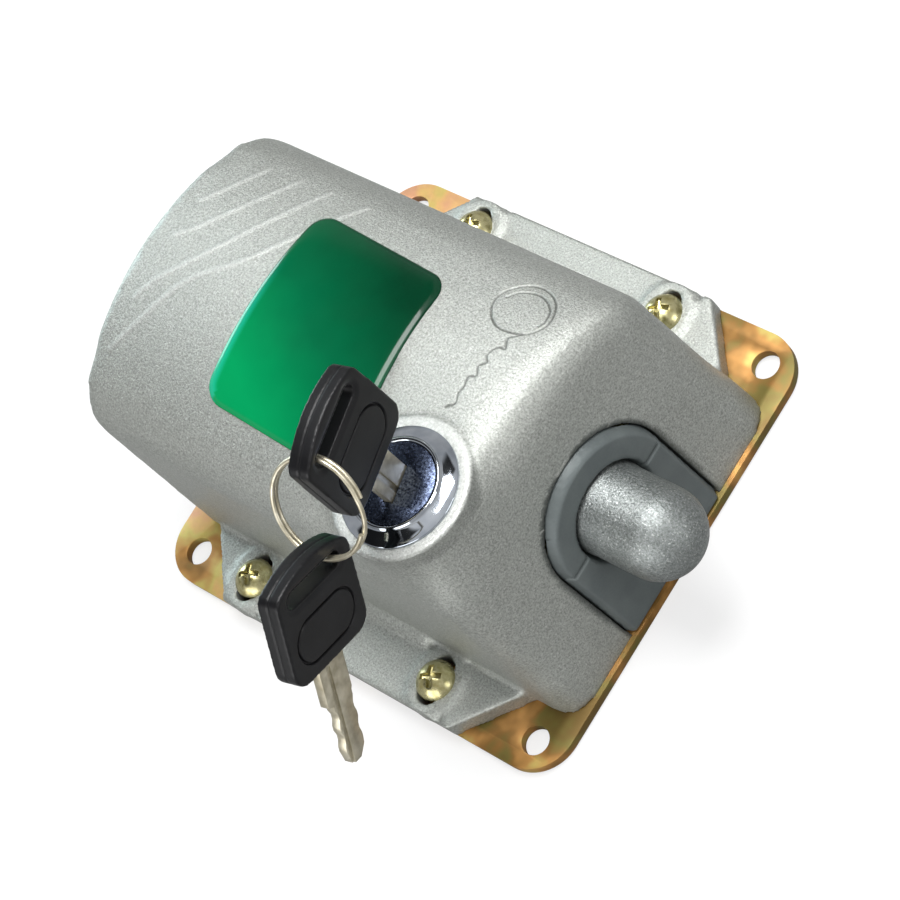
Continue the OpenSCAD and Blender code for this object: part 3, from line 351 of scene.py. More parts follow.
def guide_piece(name, cad_name):
    """A guide casting with a true arched side, a swollen face and a groove at the parting."""
    mesh = applied(cad_copy(cad_name), "REMESH", mode="VOXEL", voxel_size=GUIDE_VOXEL / MM)
    relaxed(mesh, np.ones(len(mesh.vertices)), 6)
    points = points_of(mesh)
    near_side = np.abs(arch_reach(points) - GUIDE_R) < 0.9
    face = FRONT_X - FRONT_RUN * points[:, 2]
    ahead = smooth_step(points[:, 0] - face, -1.6, -0.6)
    relaxed(mesh, ahead * (np.abs(points[:, 2] - BOLT_Z) > 0.7), 14, push=False)
    points = points_of(mesh)
    at_side = near_side & (points[:, 0] > face - 5) & (points[:, 2] > 4)
    at_side &= np.abs(normals(mesh)[:, 0]) < 0.75
    move_to_arch(points, at_side, GUIDE_R)
    from_bolt = np.hypot(points[:, 1], points[:, 2] - BOLT_Z) - BORE_R
    swell = smooth_step(GUIDE_R - arch_reach(points), 0.0, 1.3) * smooth_step(from_bolt, 0.1, 0.9)
    swell *= FACE_SWELL + smooth_step(points[:, 2], 6, 24)
    parting = 1 - smooth_step(np.abs(points[:, 2] - BOLT_Z), 0.15, 0.6)
    points[:, 0] += ahead * (swell - PARTING_DEPTH * parting)
    put_points(mesh, points)
    new_piece(name, mesh, guide_grey, "case", (cad_name,), None)


def dress(material, *cad_names):
    """Gives CAD nodes, which are machined, pressed or moulded as drawn, their finish."""
    for cad_name in cad_names:
        for material_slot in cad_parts[cad_name].material_slots:
            material_slot.link = "OBJECT"
            material_slot.material = material


guide_grey = satin_casting("guide_grey", "#5a6160", "#4f5656")
guide_piece("guide_block", "bolt_guide_lower")
guide_piece("guide_arch", "bolt_guide_upper")
# the same plating on small heads: paler, with small patches
screw_zinc = zinc_finish("screw_zinc", SCREW_TONES, 2.5, 0.26, 0.9)
dress(screw_zinc, "guide_screws", "guide_cap_screws")


def sparkle_paint(name, dark, light, sparkle, rough, metallic):
    """Metallic paint: flakes in a mottled grey, coarser than real flakes so that they show; a few are painted
    near white as painted glints.
    The point attribute read here adds painted shade where red and a painted highlight where green."""
    material, tree, shader, place = new_material(name)
    grain = node(tree, "TexNoise", {"Vector": place, "Scale": MM / 0.5, "Detail": 3.0, "Roughness": 0.75})
    flakes = node(tree, "TexVoronoi", {"Vector": place, "Scale": MM / 0.32})
    flake = node(tree, "SeparateColor", {0: flakes.outputs["Color"]})
    bright = node(tree, "ValToRGB", {0: flake.outputs[0]}, [(0.90, 0.0), (1.0, 1.0)])
    cloud = node(tree, "TexNoise", {"Vector": place, "Scale": MM / 24.0})
    marks = node(tree, "Attribute", attribute_name="marks").outputs["Color"]
    marks = node(tree, "SeparateColor", {0: marks})
    tone = node(tree, "ValToRGB", {0: grain}, [(0.34, colour(dark)), (0.66, colour(light))]).outputs[0]
    # flakes painted near white are painted glints; the last two mixes paint shade where the red mark is and a
    # highlight where the green one is
    for mask, share, over in ((cloud, 0.14, "#7b7d74"), (bright, 0.22 * sparkle, "#f4f6f4"),
                              (marks.outputs[0], 0.60, "#3f423f"), (marks.outputs[1], 0.60, "#f2f3f2")):
        share = node(tree, "Math", {0: mask, 1: share}, operation="MULTIPLY")
        mix = node(tree, "Mix", {SHARE: share, UNDER: tone, OVER: colour(over)}, data_type="RGBA")
        tone = mix.outputs[MIXED]
    gloss = node(tree, "MapRange", {"Value": flake.outputs[1], "To Min": rough, "To Max": rough + 0.18})
    lumps = node(tree, "Math", {0: grain, 1: 0.8}, operation="MULTIPLY")
    facets = node(tree, "Math", {0: flake.outputs[2], 1: 0.12 * sparkle}, operation="MULTIPLY")
    lumps = node(tree, "Math", {0: lumps, 1: facets}, operation="ADD")
    relief = node(tree, "Bump", {"Height": lumps, "Distance": 0.22 / MM, "Strength": 0.9})
    feed(tree, shader, {"Base Color": tone, "Roughness": gloss, "Normal": relief, "Metallic": metallic})
    return material


def metal(name, tone, dark, rough, grain_mm=0.5, patch_mm=6.0, metallic=1.0, depth_mm=0.01):
    """Plated or bare metal: clouds of two tones, and a grain that is coarse enough to show."""
    material, tree, shader, place = new_material(name)
    cloud = node(tree, "TexNoise", {"Vector": place, "Scale": MM / patch_mm})
    grain = node(tree, "TexNoise", {"Vector": place, "Scale": MM / grain_mm})
    shade = node(tree, "ValToRGB", {0: cloud}, [(0.3, colour(dark)), (0.7, colour(tone))])
    gloss = node(tree, "MapRange", {"Value": grain, "To Min": rough * 0.7, "To Max": rough * 1.4})
    relief = node(tree, "Bump", {"Height": grain, "Distance": depth_mm / MM, "Strength": 0.3})
    feed(tree, shader, {"Base Color": shade, "Roughness": gloss, "Normal": relief, "Metallic": metallic})
    return material


# darker and glossier than the cover, so its ball end takes a sharp highlight
bolt_paint = sparkle_paint("bolt_paint", "#686d6c", "#a2a7a6", 1.6, 0.28, 0.85)
edged("bolt_casting", "bolt", bolt_paint, "bolt_assembly", 0.3, 40)
# drawn steel wire: bright, with little colour
spring_steel = metal("spring_steel", "#b4b6ba", "#94979b", 0.25)
dress(spring_steel, "plunger_pin")
round_wire = applied(cad_copy("bolt_spring"), "SUBSURF", levels=1)
spring = new_piece("throw_spring", round_wire, spring_steel, "case", ("bolt_spring",), None)
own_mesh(spring)


# Solenoid
# A plunger in a taped copper coil on a moulded bobbin, held in a bent steel yoke and
# stopped by a rubber disc. It draws the bolt by a pin through the bolt's tail.
def plastic(name, tone, dark, rough, grain_mm=0.4, depth_mm=0.02):
    """Moulded plastic or rubber: two close tones, and a grain that is coarse enough to show."""
    material, tree, shader, place = new_material(name)
    cloud = node(tree, "TexNoise", {"Vector": place, "Scale": MM / 7.0})
    grain = node(tree, "TexNoise", {"Vector": place, "Scale": MM / grain_mm})
    shade = node(tree, "ValToRGB", {0: cloud}, [(0.3, colour(dark)), (0.7, colour(tone))])
    gloss = node(tree, "MapRange", {"Value": grain, "To Min": rough - 0.06, "To Max": rough + 0.08})
    relief = node(tree, "Bump", {"Height": grain, "Distance": depth_mm / MM, "Strength": 0.5})
    feed(tree, shader, {"Base Color": shade, "Roughness": gloss, "Normal": relief})
    return material


# zinc plate with a clear passivation: cool and half bright
bright_zinc = metal("bright_zinc", "#b9bdc1", "#9da2a7", 0.32)
# moulded nylon, cream and half matt
nylon = plastic("nylon", "#ece7da", "#ddd6c6", 0.45)
# yellow insulating tape, smooth enough to shine
tape = plastic("tape", "#dcc45a", "#c7ac40", 0.3)
# black rubber, the dullest finish here
rubber = plastic("rubber", "#232325", "#18181a", 0.7)
# enamelled copper wire, its turns painted as bright bands, a painted highlight, between dark lines of painted
# shade; a wave of this scale repeats every 0.79 mm
TURNS_SCALE = 400.0
copper, tree, shader, place = new_material("copper")
turns = node(tree, "TexWave", {"Vector": place, "Scale": TURNS_SCALE, "Distortion": 0.3, "Detail": 0.0},
             wave_type="BANDS", bands_direction="X")
shade = node(tree, "ValToRGB", {0: turns}, [(0.1, colour("#6d3a1c")), (0.6, colour("#c47a45"))])
relief = node(tree, "Bump", {"Height": turns, "Distance": 0.15 / MM, "Strength": 0.8})
feed(tree, shader, {"Base Color": shade, "Normal": relief, "Metallic": 0.8, "Roughness": 0.35})
dress(bright_zinc, "plunger", "solenoid_yoke", "solenoid_core")
dress(nylon, "bobbin")
dress(copper, "coil_winding")
dress(tape, "coil_tape")
dress(rubber, "plunger_bumper")
dress(screw_zinc, "solenoid_screws")


# Terminals and cable inlet
# A moulded terminal block screwed to the plate takes the coil's two leads. The supply
# comes in through a rubber grommet.
dress(nylon, "terminal_block")
dress(bright_zinc, "terminal_screws")
dress(screw_zinc, "terminal_mount_screws")
dress(rubber, "cable_grommet")
# soft red insulation, half glossy
lead_red = plastic("lead_red", "#b8352c", "#9c2a24", 0.4)
dress(lead_red, "coil_leads")


# Cover
# Die-cast aluminium in silver sparkle paint, held by four screws. A boss for the lock swells
# out of the front corner of its crowned vault, a key is engraved in the crown, and four
# faint strokes stand up at the rear.
CROWN_R = 73.6
CROWN_TOP = 70.6
LOCK = (37.3, -22.7)
BOSS_R = 17.0
BOSS_TOP = CROWN_TOP + 0.2
KNEE = (52.0, 67.0)
FRONT_CORNER = (60, 40)
REAR_X, REAR_RUN = 56.6, math.tan(math.radians(5.5))
REAR_EDGE = 1.6
MOUTH_R = 19.2
COVER_VOXEL = 0.86
CUT_DEPTH, STROKE_RISE, STEP_DEPTH = 0.26, 0.10, 0.18
KEY_BOW = [(31.7, 19.5), (29.7, 21.9), (29.0, 24.3), (29.7, 26.9), (32.6, 29.8), (36.0, 30.8), (39.4, 30.3),
           (42.3, 28.5), (44.1, 25.6), (44.3, 22.8), (43.0, 20.4), (40.9, 18.8), (37.1, 18.0), (34.3, 18.2),
           (31.7, 19.5)]
KEY_RIM = [(31.0, 25.3), (32.6, 27.6), (36.1, 28.9), (39.3, 28.6), (42.2, 26.8), (43.3, 24.2), (42.9, 22.2)]
KEY_BIT = [(41.1, 18.9), (39.8, 17.7), (38.9, 16.9), (39.4, 15.5), (40.1, 14.3), (38.6, 14.0), (37.7, 13.0),
           (37.3, 11.2), (38.4, 9.9), (37.6, 8.9), (37.1, 8.1), (38.2, 6.2), (37.0, 5.5), (36.5, 4.8),
           (37.1, 2.7), (36.8, 1.5), (36.9, 0.5), (37.6, -1.3), (36.7, -2.1), (35.8, -2.9)]
STROKES = [[(-56.5, 15.6), (-52.2, 21.8), (-47.9, 29.8)],
           [(-56.1, 5.4), (-51.0, 10.4), (-44.2, 19.9), (-38.1, 30.3)],
           [(-57.0, -11.6), (-53.2, -5.5), (-45.2, 4.4), (-37.2, 16.0), (-28.8, 30.7)],
           [(-57.5, -24.6), (-52.5, -15.9), (-45.7, -3.4), (-35.2, 6.0), (-27.4, 16.0), (-17.7, 30.9)]]


def line_distance(points, line):
    """Distance of each point, seen from above, from a polyline."""
    xy = points[:, :2]
    best = np.full(len(xy), 1e9)
    for p, q in zip(line[:-1], line[1:]):
        p, q = np.array(p), np.array(q)
        run = q - p
        t = np.clip(((xy - p) @ run) / max(run @ run, 1e-12), 0, 1)
        best = np.minimum(best, np.linalg.norm(xy - p - t[:, None] * run, axis=1))
    return best


def flowing(line, steps=6):
    """A smooth line through the given points."""
    ends = [np.array(line[0])] + [np.array(p) for p in line] + [np.array(line[-1])]
    points = []
    for a, b, c, d in zip(ends, ends[1:], ends[2:], ends[3:]):
        for t in np.arange(steps) / steps:
            points.append(tuple(0.5 * (2 * b + (c - a) * t + (2 * a - 5 * b + 4 * c - d) * t ** 2
                                       + (3 * b - a - 3 * c + d) * t ** 3)))
    return points + [tuple(line[-1])]


def refined(mesh, chosen, cuts):
    """Cuts the faces whose corners are all chosen into smaller ones."""
    form = bmesh.new()
    form.from_mesh(mesh)
    form.verts.ensure_lookup_table()
    edges = [e for e in form.edges if chosen[e.verts[0].index] and chosen[e.verts[1].index]]
    bmesh.ops.subdivide_edges(form, edges=edges, cuts=cuts, use_grid_fill=True)
    bmesh.ops.triangulate(form, faces=[f for f in form.faces if len(f.verts) > 4])
    form.to_mesh(mesh)
    form.free()
    mesh.update()


def put_painted_light(mesh, red, green=0.0):
    """Stores how strongly painted light or shade falls on each point, for the materials that read it."""
    values = np.zeros((len(mesh.vertices), 4))
    values[:, 0], values[:, 1], values[:, 3] = red, green, 1.0
    marks = mesh.color_attributes.new("marks", "FLOAT_COLOR", "POINT")
    marks.data.foreach_set("color", values.ravel())


def from_lock(points):
    """How far points are from the lock's axis."""
    return np.hypot(points[:, 0] - LOCK[0], points[:, 1] - LOCK[1])


def soften_cast_edges(mesh, to_lock):
    """The boss, the knee and the two front corners are broad soft curves."""
    points = points_of(mesh)
    relaxed(mesh, 1 - 0.7 * (points[:, 2] < 12), 14)
    swell = smooth_step(to_lock, 14.6, 16.6) * (1 - smooth_step(to_lock, 22, 32))
    swell *= 1 - smooth_step(points[:, 2], BOSS_TOP - 1.6, BOSS_TOP - 0.4) * (to_lock < BOSS_R + 0.8)
    swell *= smooth_step(points[:, 2], 50, 56)
    relaxed(mesh, swell, 110, push=False)
    points = points_of(mesh)
    knee = 1 - smooth_step(np.hypot(points[:, 0] - KNEE[0], points[:, 2] - KNEE[1]), 7, 17)
    knee *= (1 - smooth_step(np.abs(points[:, 1]), 30, 42)) * smooth_step(to_lock, 17.5, 24)
    to_corner = np.hypot(points[:, 0] - FRONT_CORNER[0], np.abs(points[:, 1]) - FRONT_CORNER[1])
    corner = (1 - smooth_step(to_corner, 5, 12)) * smooth_step(points[:, 2], 12, 20)
    relaxed(mesh, np.maximum(knee, 0.6 * corner), 110, push=False)


def true_rear(mesh):
    """The rear wall is true, and its edge with the crown is a small even round."""
    points = points_of(mesh)
    behind = points[:, 0] + REAR_X + REAR_RUN * points[:, 2]
    flat = (np.abs(behind) < 1.6) & (normals(mesh)[:, 0] < -0.6)
    points[:, 0] -= flat * smooth_step(points[:, 2], 14, 24) * behind
    behind = points[:, 0] + REAR_X + REAR_RUN * points[:, 2]
    above = points[:, 2] - CROWN_TOP + CROWN_R
    depth = CROWN_R - np.hypot(points[:, 1], above)
    reach = np.maximum(np.hypot(REAR_EDGE - behind, REAR_EDGE - depth), 1e-6)
    at_edge = (behind < REAR_EDGE) & (depth < REAR_EDGE) & (points[:, 2] > 50)
    at_edge = at_edge * (1 - smooth_step(np.abs(points[:, 1]), 26, 36))
    points[:, 0] += at_edge * (REAR_EDGE - behind) * (1 - REAR_EDGE / reach)
    rise = 1 + at_edge * (REAR_EDGE - depth) * (REAR_EDGE / reach - 1) / (CROWN_R - depth)
    points[:, 1] *= rise
    points[:, 2] += (rise - 1) * above
    put_points(mesh, points)
    shoulder = smooth_step(np.abs(points[:, 1]), 22, 29) * (1 - smooth_step(points[:, 0], -60, -56))
    relaxed(mesh, shoulder * smooth_step(points[:, 2], 5, 12), 14, push=False)


def true_mouth_and_crown(mesh, to_lock):
    """The mouth is a true arch, and the crown is even where seat and engraving roughened it."""
    points = points_of(mesh)
    at_mouth = (np.abs(arch_reach(points) - MOUTH_R) < 1.0) & (points[:, 0] > 48) & (points[:, 2] > 4)
    move_to_arch(points, at_mouth, MOUTH_R)
    put_points(mesh, points)
    crown_z = CROWN_TOP - CROWN_R + np.sqrt(np.maximum(CROWN_R ** 2 - points[:, 1] ** 2, 0))
    on_crown = (np.abs(points[:, 2] - crown_z) < 1.0) & (np.abs(points[:, 1]) < 30)
    on_crown &= normals(mesh)[:, 2] > 0.7
    true = on_crown * (1 - smooth_step(points[:, 0], 30, 42)) * smooth_step(points[:, 0], -60.5, -57)
    true *= smooth_step(to_lock, 30, 34)
    points[:, 2] += true * (crown_z - points[:, 2])
    put_points(mesh, points)


def engrave(mesh):
    """Cuts the key, raises the strokes and sets a fine step round the lock; paints shade into the cut, the
    step and the gap at the mouth, and highlights on the strokes and the boss rim.
    """
    engraved = [flowing(KEY_BOW), flowing(KEY_RIM), flowing(KEY_BIT, 3)]
    strokes = [flowing(line) for line in STROKES]
    points = points_of(mesh)
    near = np.minimum.reduce([line_distance(points, line) for line in engraved + strokes])
    refined(mesh, (near < 1.6) & (points[:, 2] > 60), 4)
    points = points_of(mesh)
    up = (points[:, 2] > 58) & (normals(mesh)[:, 2] > 0.2)
    from_cut, from_stroke = [np.minimum.reduce([line_distance(points, line) for line in lines])
                             for lines in (engraved, strokes)]
    cut = up * (1 - smooth_step(from_cut, 0.05, 0.38))
    raised = up * (1 - smooth_step(from_stroke, 0.1, 1.2))
    to_lock = from_lock(points)
    rim = (to_lock > 14.2) * (1 - smooth_step(to_lock, 16.2, 17.0)) * (points[:, 2] > BOSS_TOP - 0.8)
    step = (1 - smooth_step(np.abs(to_lock - BOSS_R - 0.3), 0.2, 0.7)) * (points[:, 2] > 66)
    shadow = (1 - smooth_step(arch_reach(points) - MOUTH_R, 0.1, 0.7)) * (points[:, 0] > 50)
    lift = STROKE_RISE * raised - CUT_DEPTH * cut - STEP_DEPTH * step
    put_points(mesh, points + normals(mesh) * lift[:, None])
    # red is painted shade in the key's cut, the step and the gap at the mouth; green is painted highlight on
    # the raised strokes and the boss rim
    put_painted_light(mesh, np.maximum.reduce((cut, 0.45 * step, shadow)), np.maximum(0.26 * raised, 0.40 * rim))


cover = applied(cad_copy("housing"), "REMESH", mode="VOXEL", voxel_size=COVER_VOXEL / MM)
# how far from the lock each point is before the edges are eased
to_lock_as_cast = from_lock(points_of(cover))
soften_cast_edges(cover, to_lock_as_cast)
true_rear(cover)
true_mouth_and_crown(cover, to_lock_as_cast)
engrave(cover)
# a cool light grey, satin, with its flakes in the gloss as well as in the tone
cover_paint = sparkle_paint("cover_paint", "#8a8d88", "#bcbfba", 1.0, 0.35, 0.72)
new_piece("cover_casting", cover, cover_paint, "case", ("housing",), None)
edged("cover_screw_set", "housing_screws", screw_zinc, "case", 0.15, 35)


# Lock cylinder
# A brass barrel with a pressed chrome collar, a polished plug with brass wafers, and behind
# them the nut that holds the barrel in the cover and the cam that draws the bolt.
COLLAR = [(14.1, 0.0), (14.1, 0.45), (14.05, 0.58), (13.95, 0.66), (12.6, 1.25), (11.2, 1.86), (10.75, 2.1),
          (10.6, 2.32), (10.5, 2.5), (10.35, 2.58), (10.15, 2.58), (10.0, 2.5), (9.86, 2.35)]
COLLAR_LIP = 2.15
COLLAR_STEPS = 160


def collar_mesh():
    """The ring's section spun round the lock's axis, on the CAD ring's foot and bore."""
    form = bmesh.new()
    form.from_mesh(cad_copy("lock_bezel"))
    foot = min(v.co.z for v in form.verts) * MM
    bore = min(math.hypot(v.co.x * MM - LOCK[0], v.co.y * MM - LOCK[1]) for v in form.verts)
    form.clear()
    section = [form.verts.new(((LOCK[0] + r) / MM, LOCK[1] / MM, (foot + h) / MM))
               for r, h in COLLAR + [(bore, COLLAR_LIP), (bore, 0.0)]]
    edges = [form.edges.new(pair) for pair in zip(section, section[1:] + section[:1])]
    bmesh.ops.spin(form, geom=section + edges, cent=(LOCK[0] / MM, LOCK[1] / MM, 0), axis=(0, 0, 1),
                   angle=2 * math.pi, steps=COLLAR_STEPS, use_merge=True)
    bmesh.ops.recalc_face_normals(form, faces=form.faces)
    mesh = bpy.data.meshes.new("lock_collar")
    form.to_mesh(mesh)
    form.free()
    return mesh


# chromium plate is the brightest finish here, so its grain is hardly deep enough to see
chrome = metal("chrome", "#c9cfd6", "#a9b0ba", 0.07, 0.8, 5.0, 1.0, 0.001)
new_piece("lock_collar", collar_mesh(), chrome, "case", ("lock_bezel",), 50)
# a polished face, mottled from near black to pale blue
plug_blue = metal("plug_blue", "#76829c", "#1a2136", 0.24, 0.4, 0.5)
edged("lock_core", "lock_plug", plug_blue, "plug_assembly", 0.2, 30)
# machined brass: warm, with soft highlights
brass = metal("brass", "#cfae68", "#a98545", 0.3)
dress(brass, "lock_barrel", "lock_wafers")
dress(bright_zinc, "barrel_nut", "lock_cam")
dress(screw_zinc, "cam_screw")


# Label
# A green label under a clear domed resin, bent over the crown and sunk a little in its
# seat. Its green is painted light and shade, bright at the near corner and deep at the far
# one, and a painted cyan highlight runs along the resin's rear edge.
LABEL_MID_X = -3.5
LABEL_SIZE = (43.4, 51.4)
LABEL_ENDS = [(-25.9, -24.5), (19.6, -26.6), (16.4, 22.8), (-25.5, 25.3)]
LABEL_CORNER = 5.0
LABEL_FOOT, LABEL_DOME = -6.0, 0.9
PAINTED_GLOW_WIDTH = 3.2
# how far in from its outline, and how high, the rounded edge of the resin passes
LABEL_EDGE = [(0.0, -0.35), (0.0, 0.12), (0.08, 0.28), (0.25, 0.40), (0.6, 0.55), (1.0, 0.71), (1.35, 0.80),
              (1.8, 0.85), (3.0, 0.88), (4.6, 0.89)]
CORNER_STEPS, SIDE_STEPS, DOME_RINGS = 8, 24, 15
QUARTERS = [(1, 1), (-1, 1), (-1, -1), (1, -1)]


def rounded_outline(length, width, radius):
    """Points round a rectangle with rounded corners, as many for every size."""
    points = []
    for quarter in range(4):
        here, after = [np.array((sx * (length / 2 - radius), sy * (width / 2 - radius)))
                       for sx, sy in (QUARTERS[quarter], QUARTERS[(quarter + 1) % 4])]
        for i in range(CORNER_STEPS + 1):
            a = math.pi / 2 * (quarter + i / CORNER_STEPS)
            points.append(here + radius * np.array((math.cos(a), math.sin(a))))
        start, end = points[-1], after + points[-1] - here
        points += [start + (end - start) * i / SIDE_STEPS for i in range(1, SIDE_STEPS)]
    return np.array(points)


def label_mesh():
    """Rings of points from the foot of the label's edge to the middle of its dome."""
    rings = [(rounded_outline(*(size - 2 * inset for size in LABEL_SIZE), LABEL_CORNER - inset), rise)
             for inset, rise in LABEL_EDGE]
    inner = rings[-1][0]
    rings += [(inner * scale, LABEL_DOME) for scale in np.linspace(0.94, 0.06, DOME_RINGS)]
    points, faces, glow = [], [], []
    for outline, rise in rings:
        for x, y in outline:
            # a painted cyan highlight along the resin's rear edge, fading out towards +Y
            at_rear_edge = x < PAINTED_GLOW_WIDTH - LABEL_SIZE[0] / 2 and 0.3 < rise < 0.86
            glow.append(at_rear_edge * float(1 - smooth_step(y, -6, 14)))
            s, t = x / LABEL_SIZE[0] + 0.5, y / LABEL_SIZE[1] + 0.5
            shares = ((1 - s) * (1 - t), s * (1 - t), s * t, (1 - s) * t)
            x, y = (sum(w * end[k] for w, end in zip(shares, LABEL_ENDS)) for k in (0, 1))
            across = y / CROWN_R
            reach = CROWN_R + rise
            points.append((x, reach * across, CROWN_TOP - CROWN_R + reach * math.sqrt(1 - across ** 2)))
    count = len(inner)
    for k in range(len(rings) - 1):
        for i in range(count):
            j = (i + 1) % count
            faces.append((k * count + i, k * count + j, (k + 1) * count + j, (k + 1) * count + i))
    last = (len(rings) - 1) * count
    points += [(LABEL_MID_X, 0.0, CROWN_TOP + rise) for rise in (LABEL_DOME, LABEL_FOOT)]
    faces += [(last + i, last + (i + 1) % count, len(points) - 2) for i in range(count)]
    faces += [((i + 1) % count, i, len(points) - 1) for i in range(count)]
    mesh = bpy.data.meshes.new("badge")
    mesh.from_pydata([tuple(v / MM for v in p) for p in points], [], faces)
    put_painted_light(mesh, glow + [0.0, 0.0])
    return mesh


# printed film under clear resin, under a glossy coat; its green is painted lighter at the near corner and
# darker at the far, as painted light and shade
badge_green, tree, shader, place = new_material("badge_green")
apart = node(tree, "SeparateXYZ", {0: place})
painted_light_slant_x, painted_light_slant_y = [node(tree, "Math", {0: apart.outputs[axis], 1: slope}, operation="MULTIPLY")
                    for axis, slope in (("X", 9.0), ("Y", 14.0))]
painted_light_slant = node(tree, "Math", {0: painted_light_slant_x, 1: painted_light_slant_y}, operation="ADD")
blotch = node(tree, "TexNoise", {"Vector": place, "Scale": MM / 9.0})
blotch = node(tree, "Math", {0: blotch, 1: 0.12}, operation="MULTIPLY")
painted_light_slant = node(tree, "Math", {0: painted_light_slant, 1: blotch}, operation="ADD")
painted_light_slant = node(tree, "Math", {0: painted_light_slant, 1: 0.5}, operation="ADD")
tone = node(tree, "ValToRGB", {0: painted_light_slant}, [(0.15, colour("#02834b")), (0.50, colour("#015534")),
                                           (0.88, colour("#012b19"))]).outputs[0]
speck = node(tree, "TexNoise", {"Vector": place, "Scale": MM / 0.5, "Detail": 1.0})
marks = node(tree, "Attribute", attribute_name="marks").outputs["Color"]
# the speck is a fine printed mottle; the mark adds the painted cyan highlight along the rear edge
for mask, share, over in ((speck, 0.10, "#03613a"), (marks, 0.85, "#35dcd2")):
    share = node(tree, "Math", {0: mask, 1: share}, operation="MULTIPLY")
    tone = node(tree, "Mix", {SHARE: share, UNDER: tone, OVER: colour(over)}, data_type="RGBA").outputs[MIXED]
ripple = node(tree, "TexNoise", {"Vector": place, "Scale": MM / 12.0, "Detail": 1.0})
gloss = node(tree, "MapRange", {"Value": ripple, "To Min": 0.16, "To Max": 0.30})
relief = node(tree, "Bump", {"Height": ripple, "Distance": 0.05 / MM, "Strength": 0.3})
feed(tree, shader, {"Base Color": tone, "Roughness": gloss, "Normal": relief, "Specular IOR Level": 0.12,
                    "Coat Weight": 0.30, "Coat Roughness": 0.06})
new_piece("badge", label_mesh(), badge_green, "case", ("label",), 60)


# Keys
# Two nickel-plated blades with moulded black heads: a hanging slot under the arched top,
# a bare oval groove on each face and the mould's parting line round the rim.
KEY_TURN = math.radians(13)
KEY_U = np.array((math.sin(KEY_TURN), -math.cos(KEY_TURN), 0.0))
KEY_N = np.array((math.cos(KEY_TURN), math.sin(KEY_TURN), 0.0))
UP = np.array((0.0, 0.0, 1.0))
KEY_TOP = 108.0
HEAD_HALF = 2.7
HEAD_VOXEL = 0.28
SLOT_V, SLOT_REACH = 4.5, 7.3
OVAL_V, OVAL_HALF, OVAL_R = 16.1, 4.7, 5.2
OVAL_DEPTH, SEAM_DEPTH, DISH_DEPTH = 0.62, 0.18, 0.35
RING_R, RING_SLOPE = 11.4, math.radians(47)
KEY_2_LEAN = math.radians(32.5)
key_1_top = np.array((*LOCK, KEY_TOP))
ring_down = math.cos(RING_SLOPE) * KEY_U - math.sin(RING_SLOPE) * UP
ring_middle = key_1_top - SLOT_V * UP + SLOT_REACH * KEY_U + RING_R * ring_down
key_2_u = math.cos(KEY_2_LEAN) * KEY_U + math.sin(KEY_2_LEAN) * UP
key_2_down = math.sin(KEY_2_LEAN) * KEY_U - math.cos(KEY_2_LEAN) * UP
key_2_top = ring_middle + RING_R * ring_down + SLOT_REACH * key_2_u - SLOT_V * key_2_down


def moulded_head(name, cad_name, body, top, u_axis, down):
    """The key head with its moulded edges, groove and parting line."""
    n_axis = np.cross(u_axis, down)

    def places():
        """Each point across, down and out from the head's top, and how far from the oval's line."""
        place = points_of(mesh) - top
        u, v, n = place @ u_axis, place @ down, place @ n_axis
        return u, v, n, np.abs(np.hypot(np.maximum(np.abs(u) - OVAL_HALF, 0), v - OVAL_V) - OVAL_R)

    mesh = applied(cad_copy(cad_name), "REMESH", mode="VOXEL", voxel_size=HEAD_VOXEL / MM)
    relaxed(mesh, np.ones(len(mesh.vertices)), 6)
    relaxed(mesh, np.ones(len(mesh.vertices)), 7, push=False)
    u, v, n, from_oval = places()
    refined(mesh, (from_oval < 0.8) & (np.abs(n) > HEAD_HALF - 0.8), 2)
    u, v, n, from_oval = places()
    facing = np.abs(normals(mesh) @ n_axis)
    groove = (1 - smooth_step(from_oval, 0.14, 0.42)) * smooth_step(facing, 0.8, 0.95)
    groove *= np.abs(n) > HEAD_HALF - 0.8
    to_slot = np.hypot(np.maximum(np.abs(u) - SLOT_REACH, 0), v - SLOT_V)
    seam = (1 - smooth_step(np.abs(n), 0.05, 0.32)) * (1 - smooth_step(facing, 0.15, 0.5)) * (to_slot > 3.0)
    dish = (1 - smooth_step(to_slot, 1.9, 3.6)) * smooth_step(facing, 0.5, 0.9)
    sunk = OVAL_DEPTH * groove + SEAM_DEPTH * seam + DISH_DEPTH * dish
    put_points(mesh, points_of(mesh) - normals(mesh) * sunk[:, None])
    # the groove's mark paints shade into it
    put_painted_light(mesh, groove)
    new_piece(name, mesh, key_black, body, (cad_name,), None)
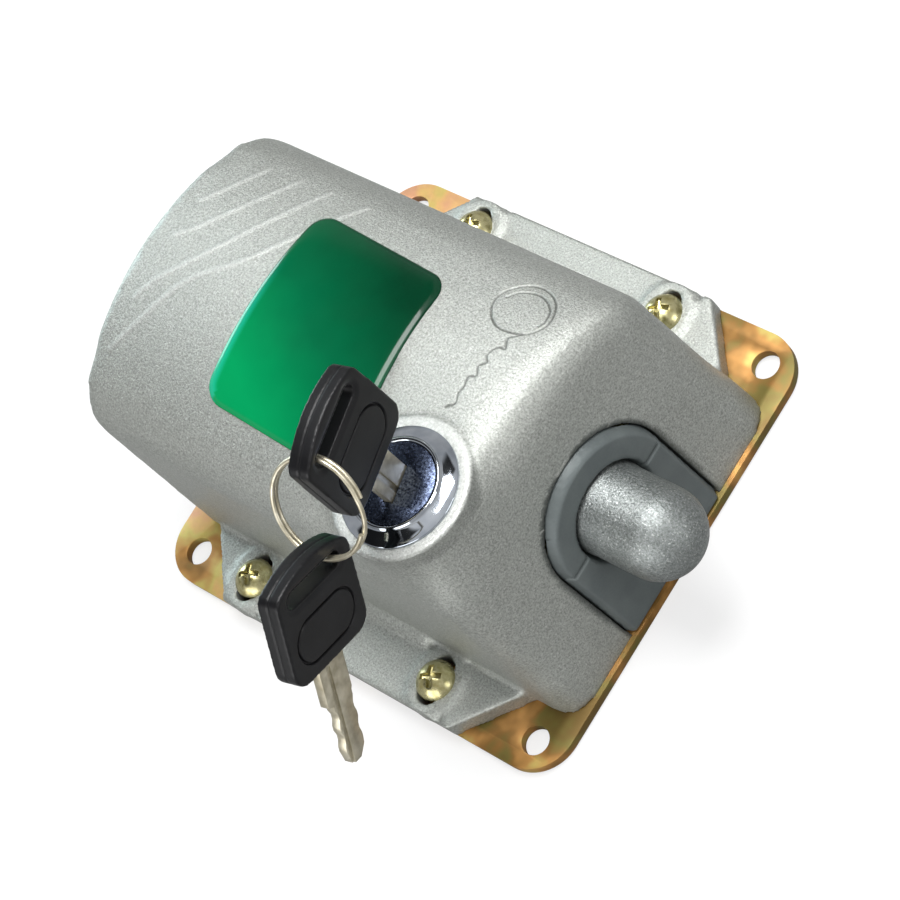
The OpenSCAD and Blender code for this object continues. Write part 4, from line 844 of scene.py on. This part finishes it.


# moulded ABS, near black and satin; its grooves get painted shade, darker and duller than the face
key_black = plastic("key_black", "#141416", "#0b0b0d", 0.38, 0.35, 0.03)
tree = key_black.node_tree
shader = tree.nodes["Principled BSDF"]
marks = node(tree, "Attribute", attribute_name="marks").outputs["Color"]
for socket, deep in (("Base Color", colour("#020202")), ("Roughness", (0.95, 0.95, 0.95, 1.0))):
    plain = shader.inputs[socket].links[0].from_socket
    deepened = node(tree, "Mix", {SHARE: marks, UNDER: plain, OVER: deep}, data_type="RGBA")
    feed(tree, shader, {socket: deepened.outputs[MIXED]})
feed(tree, shader, {"Specular IOR Level": 0.30})
# nickel plate, warmer and softer than chromium
nickel = metal("nickel", "#d6d0bc", "#aaa28b", 0.36, 0.4, 3.0, 0.78)
edged("key_1_bit", "key_1_blade", nickel, "key_1", 0.12, 30)
edged("key_2_bit", "key_2_blade", nickel, "key_2", 0.12, 30)
moulded_head("key_1_bow", "key_1_head", "key_1", key_1_top, KEY_U, -UP)
moulded_head("key_2_bow", "key_2_head", "key_2", key_2_top, key_2_u, key_2_down)


# Split ring
# Two turns of nickel-plated spring wire that lie side by side, threaded through the
# hanging slots of both key heads.
WIRE_R, TURN_OFFSET = 0.54, 0.58
RING_TURN, RING_START, RING_CROSS = 680, 70, 20
RING_STEPS, WIRE_SIDES = 340, 12


def ring_mesh():
    """A tube along the ring's two turns, closed at both ends."""
    across = np.cross(KEY_N, ring_down)
    points, faces = [], []
    for i in range(RING_STEPS + 1):
        turn = RING_TURN * i / RING_STEPS
        a = math.radians(turn - RING_START)
        side = TURN_OFFSET * max(-1, min(1, (turn - RING_TURN / 2) / RING_CROSS))
        out = RING_R * (math.cos(a) * ring_down - math.sin(a) * KEY_N)
        here = ring_middle + out + side * across
        for k in range(WIRE_SIDES):
            b = 2 * math.pi * k / WIRE_SIDES
            points.append(here + WIRE_R * (math.cos(b) * out / RING_R + math.sin(b) * across))
    for i in range(RING_STEPS):
        for k in range(WIRE_SIDES):
            j = (k + 1) % WIRE_SIDES
            here, after = i * WIRE_SIDES, (i + 1) * WIRE_SIDES
            faces.append((here + k, here + j, after + j, after + k))
    faces.append(tuple(range(WIRE_SIDES))[::-1])
    faces.append(tuple(range(len(points) - WIRE_SIDES, len(points))))
    mesh = bpy.data.meshes.new("split_ring")
    mesh.from_pydata([tuple(p / MM) for p in points], [], faces)
    form = bmesh.new()
    form.from_mesh(mesh)
    bmesh.ops.recalc_face_normals(form, faces=form.faces)
    form.to_mesh(mesh)
    form.free()
    return mesh


new_piece("split_ring", ring_mesh(), nickel, "ring", ("key_ring",), 60)
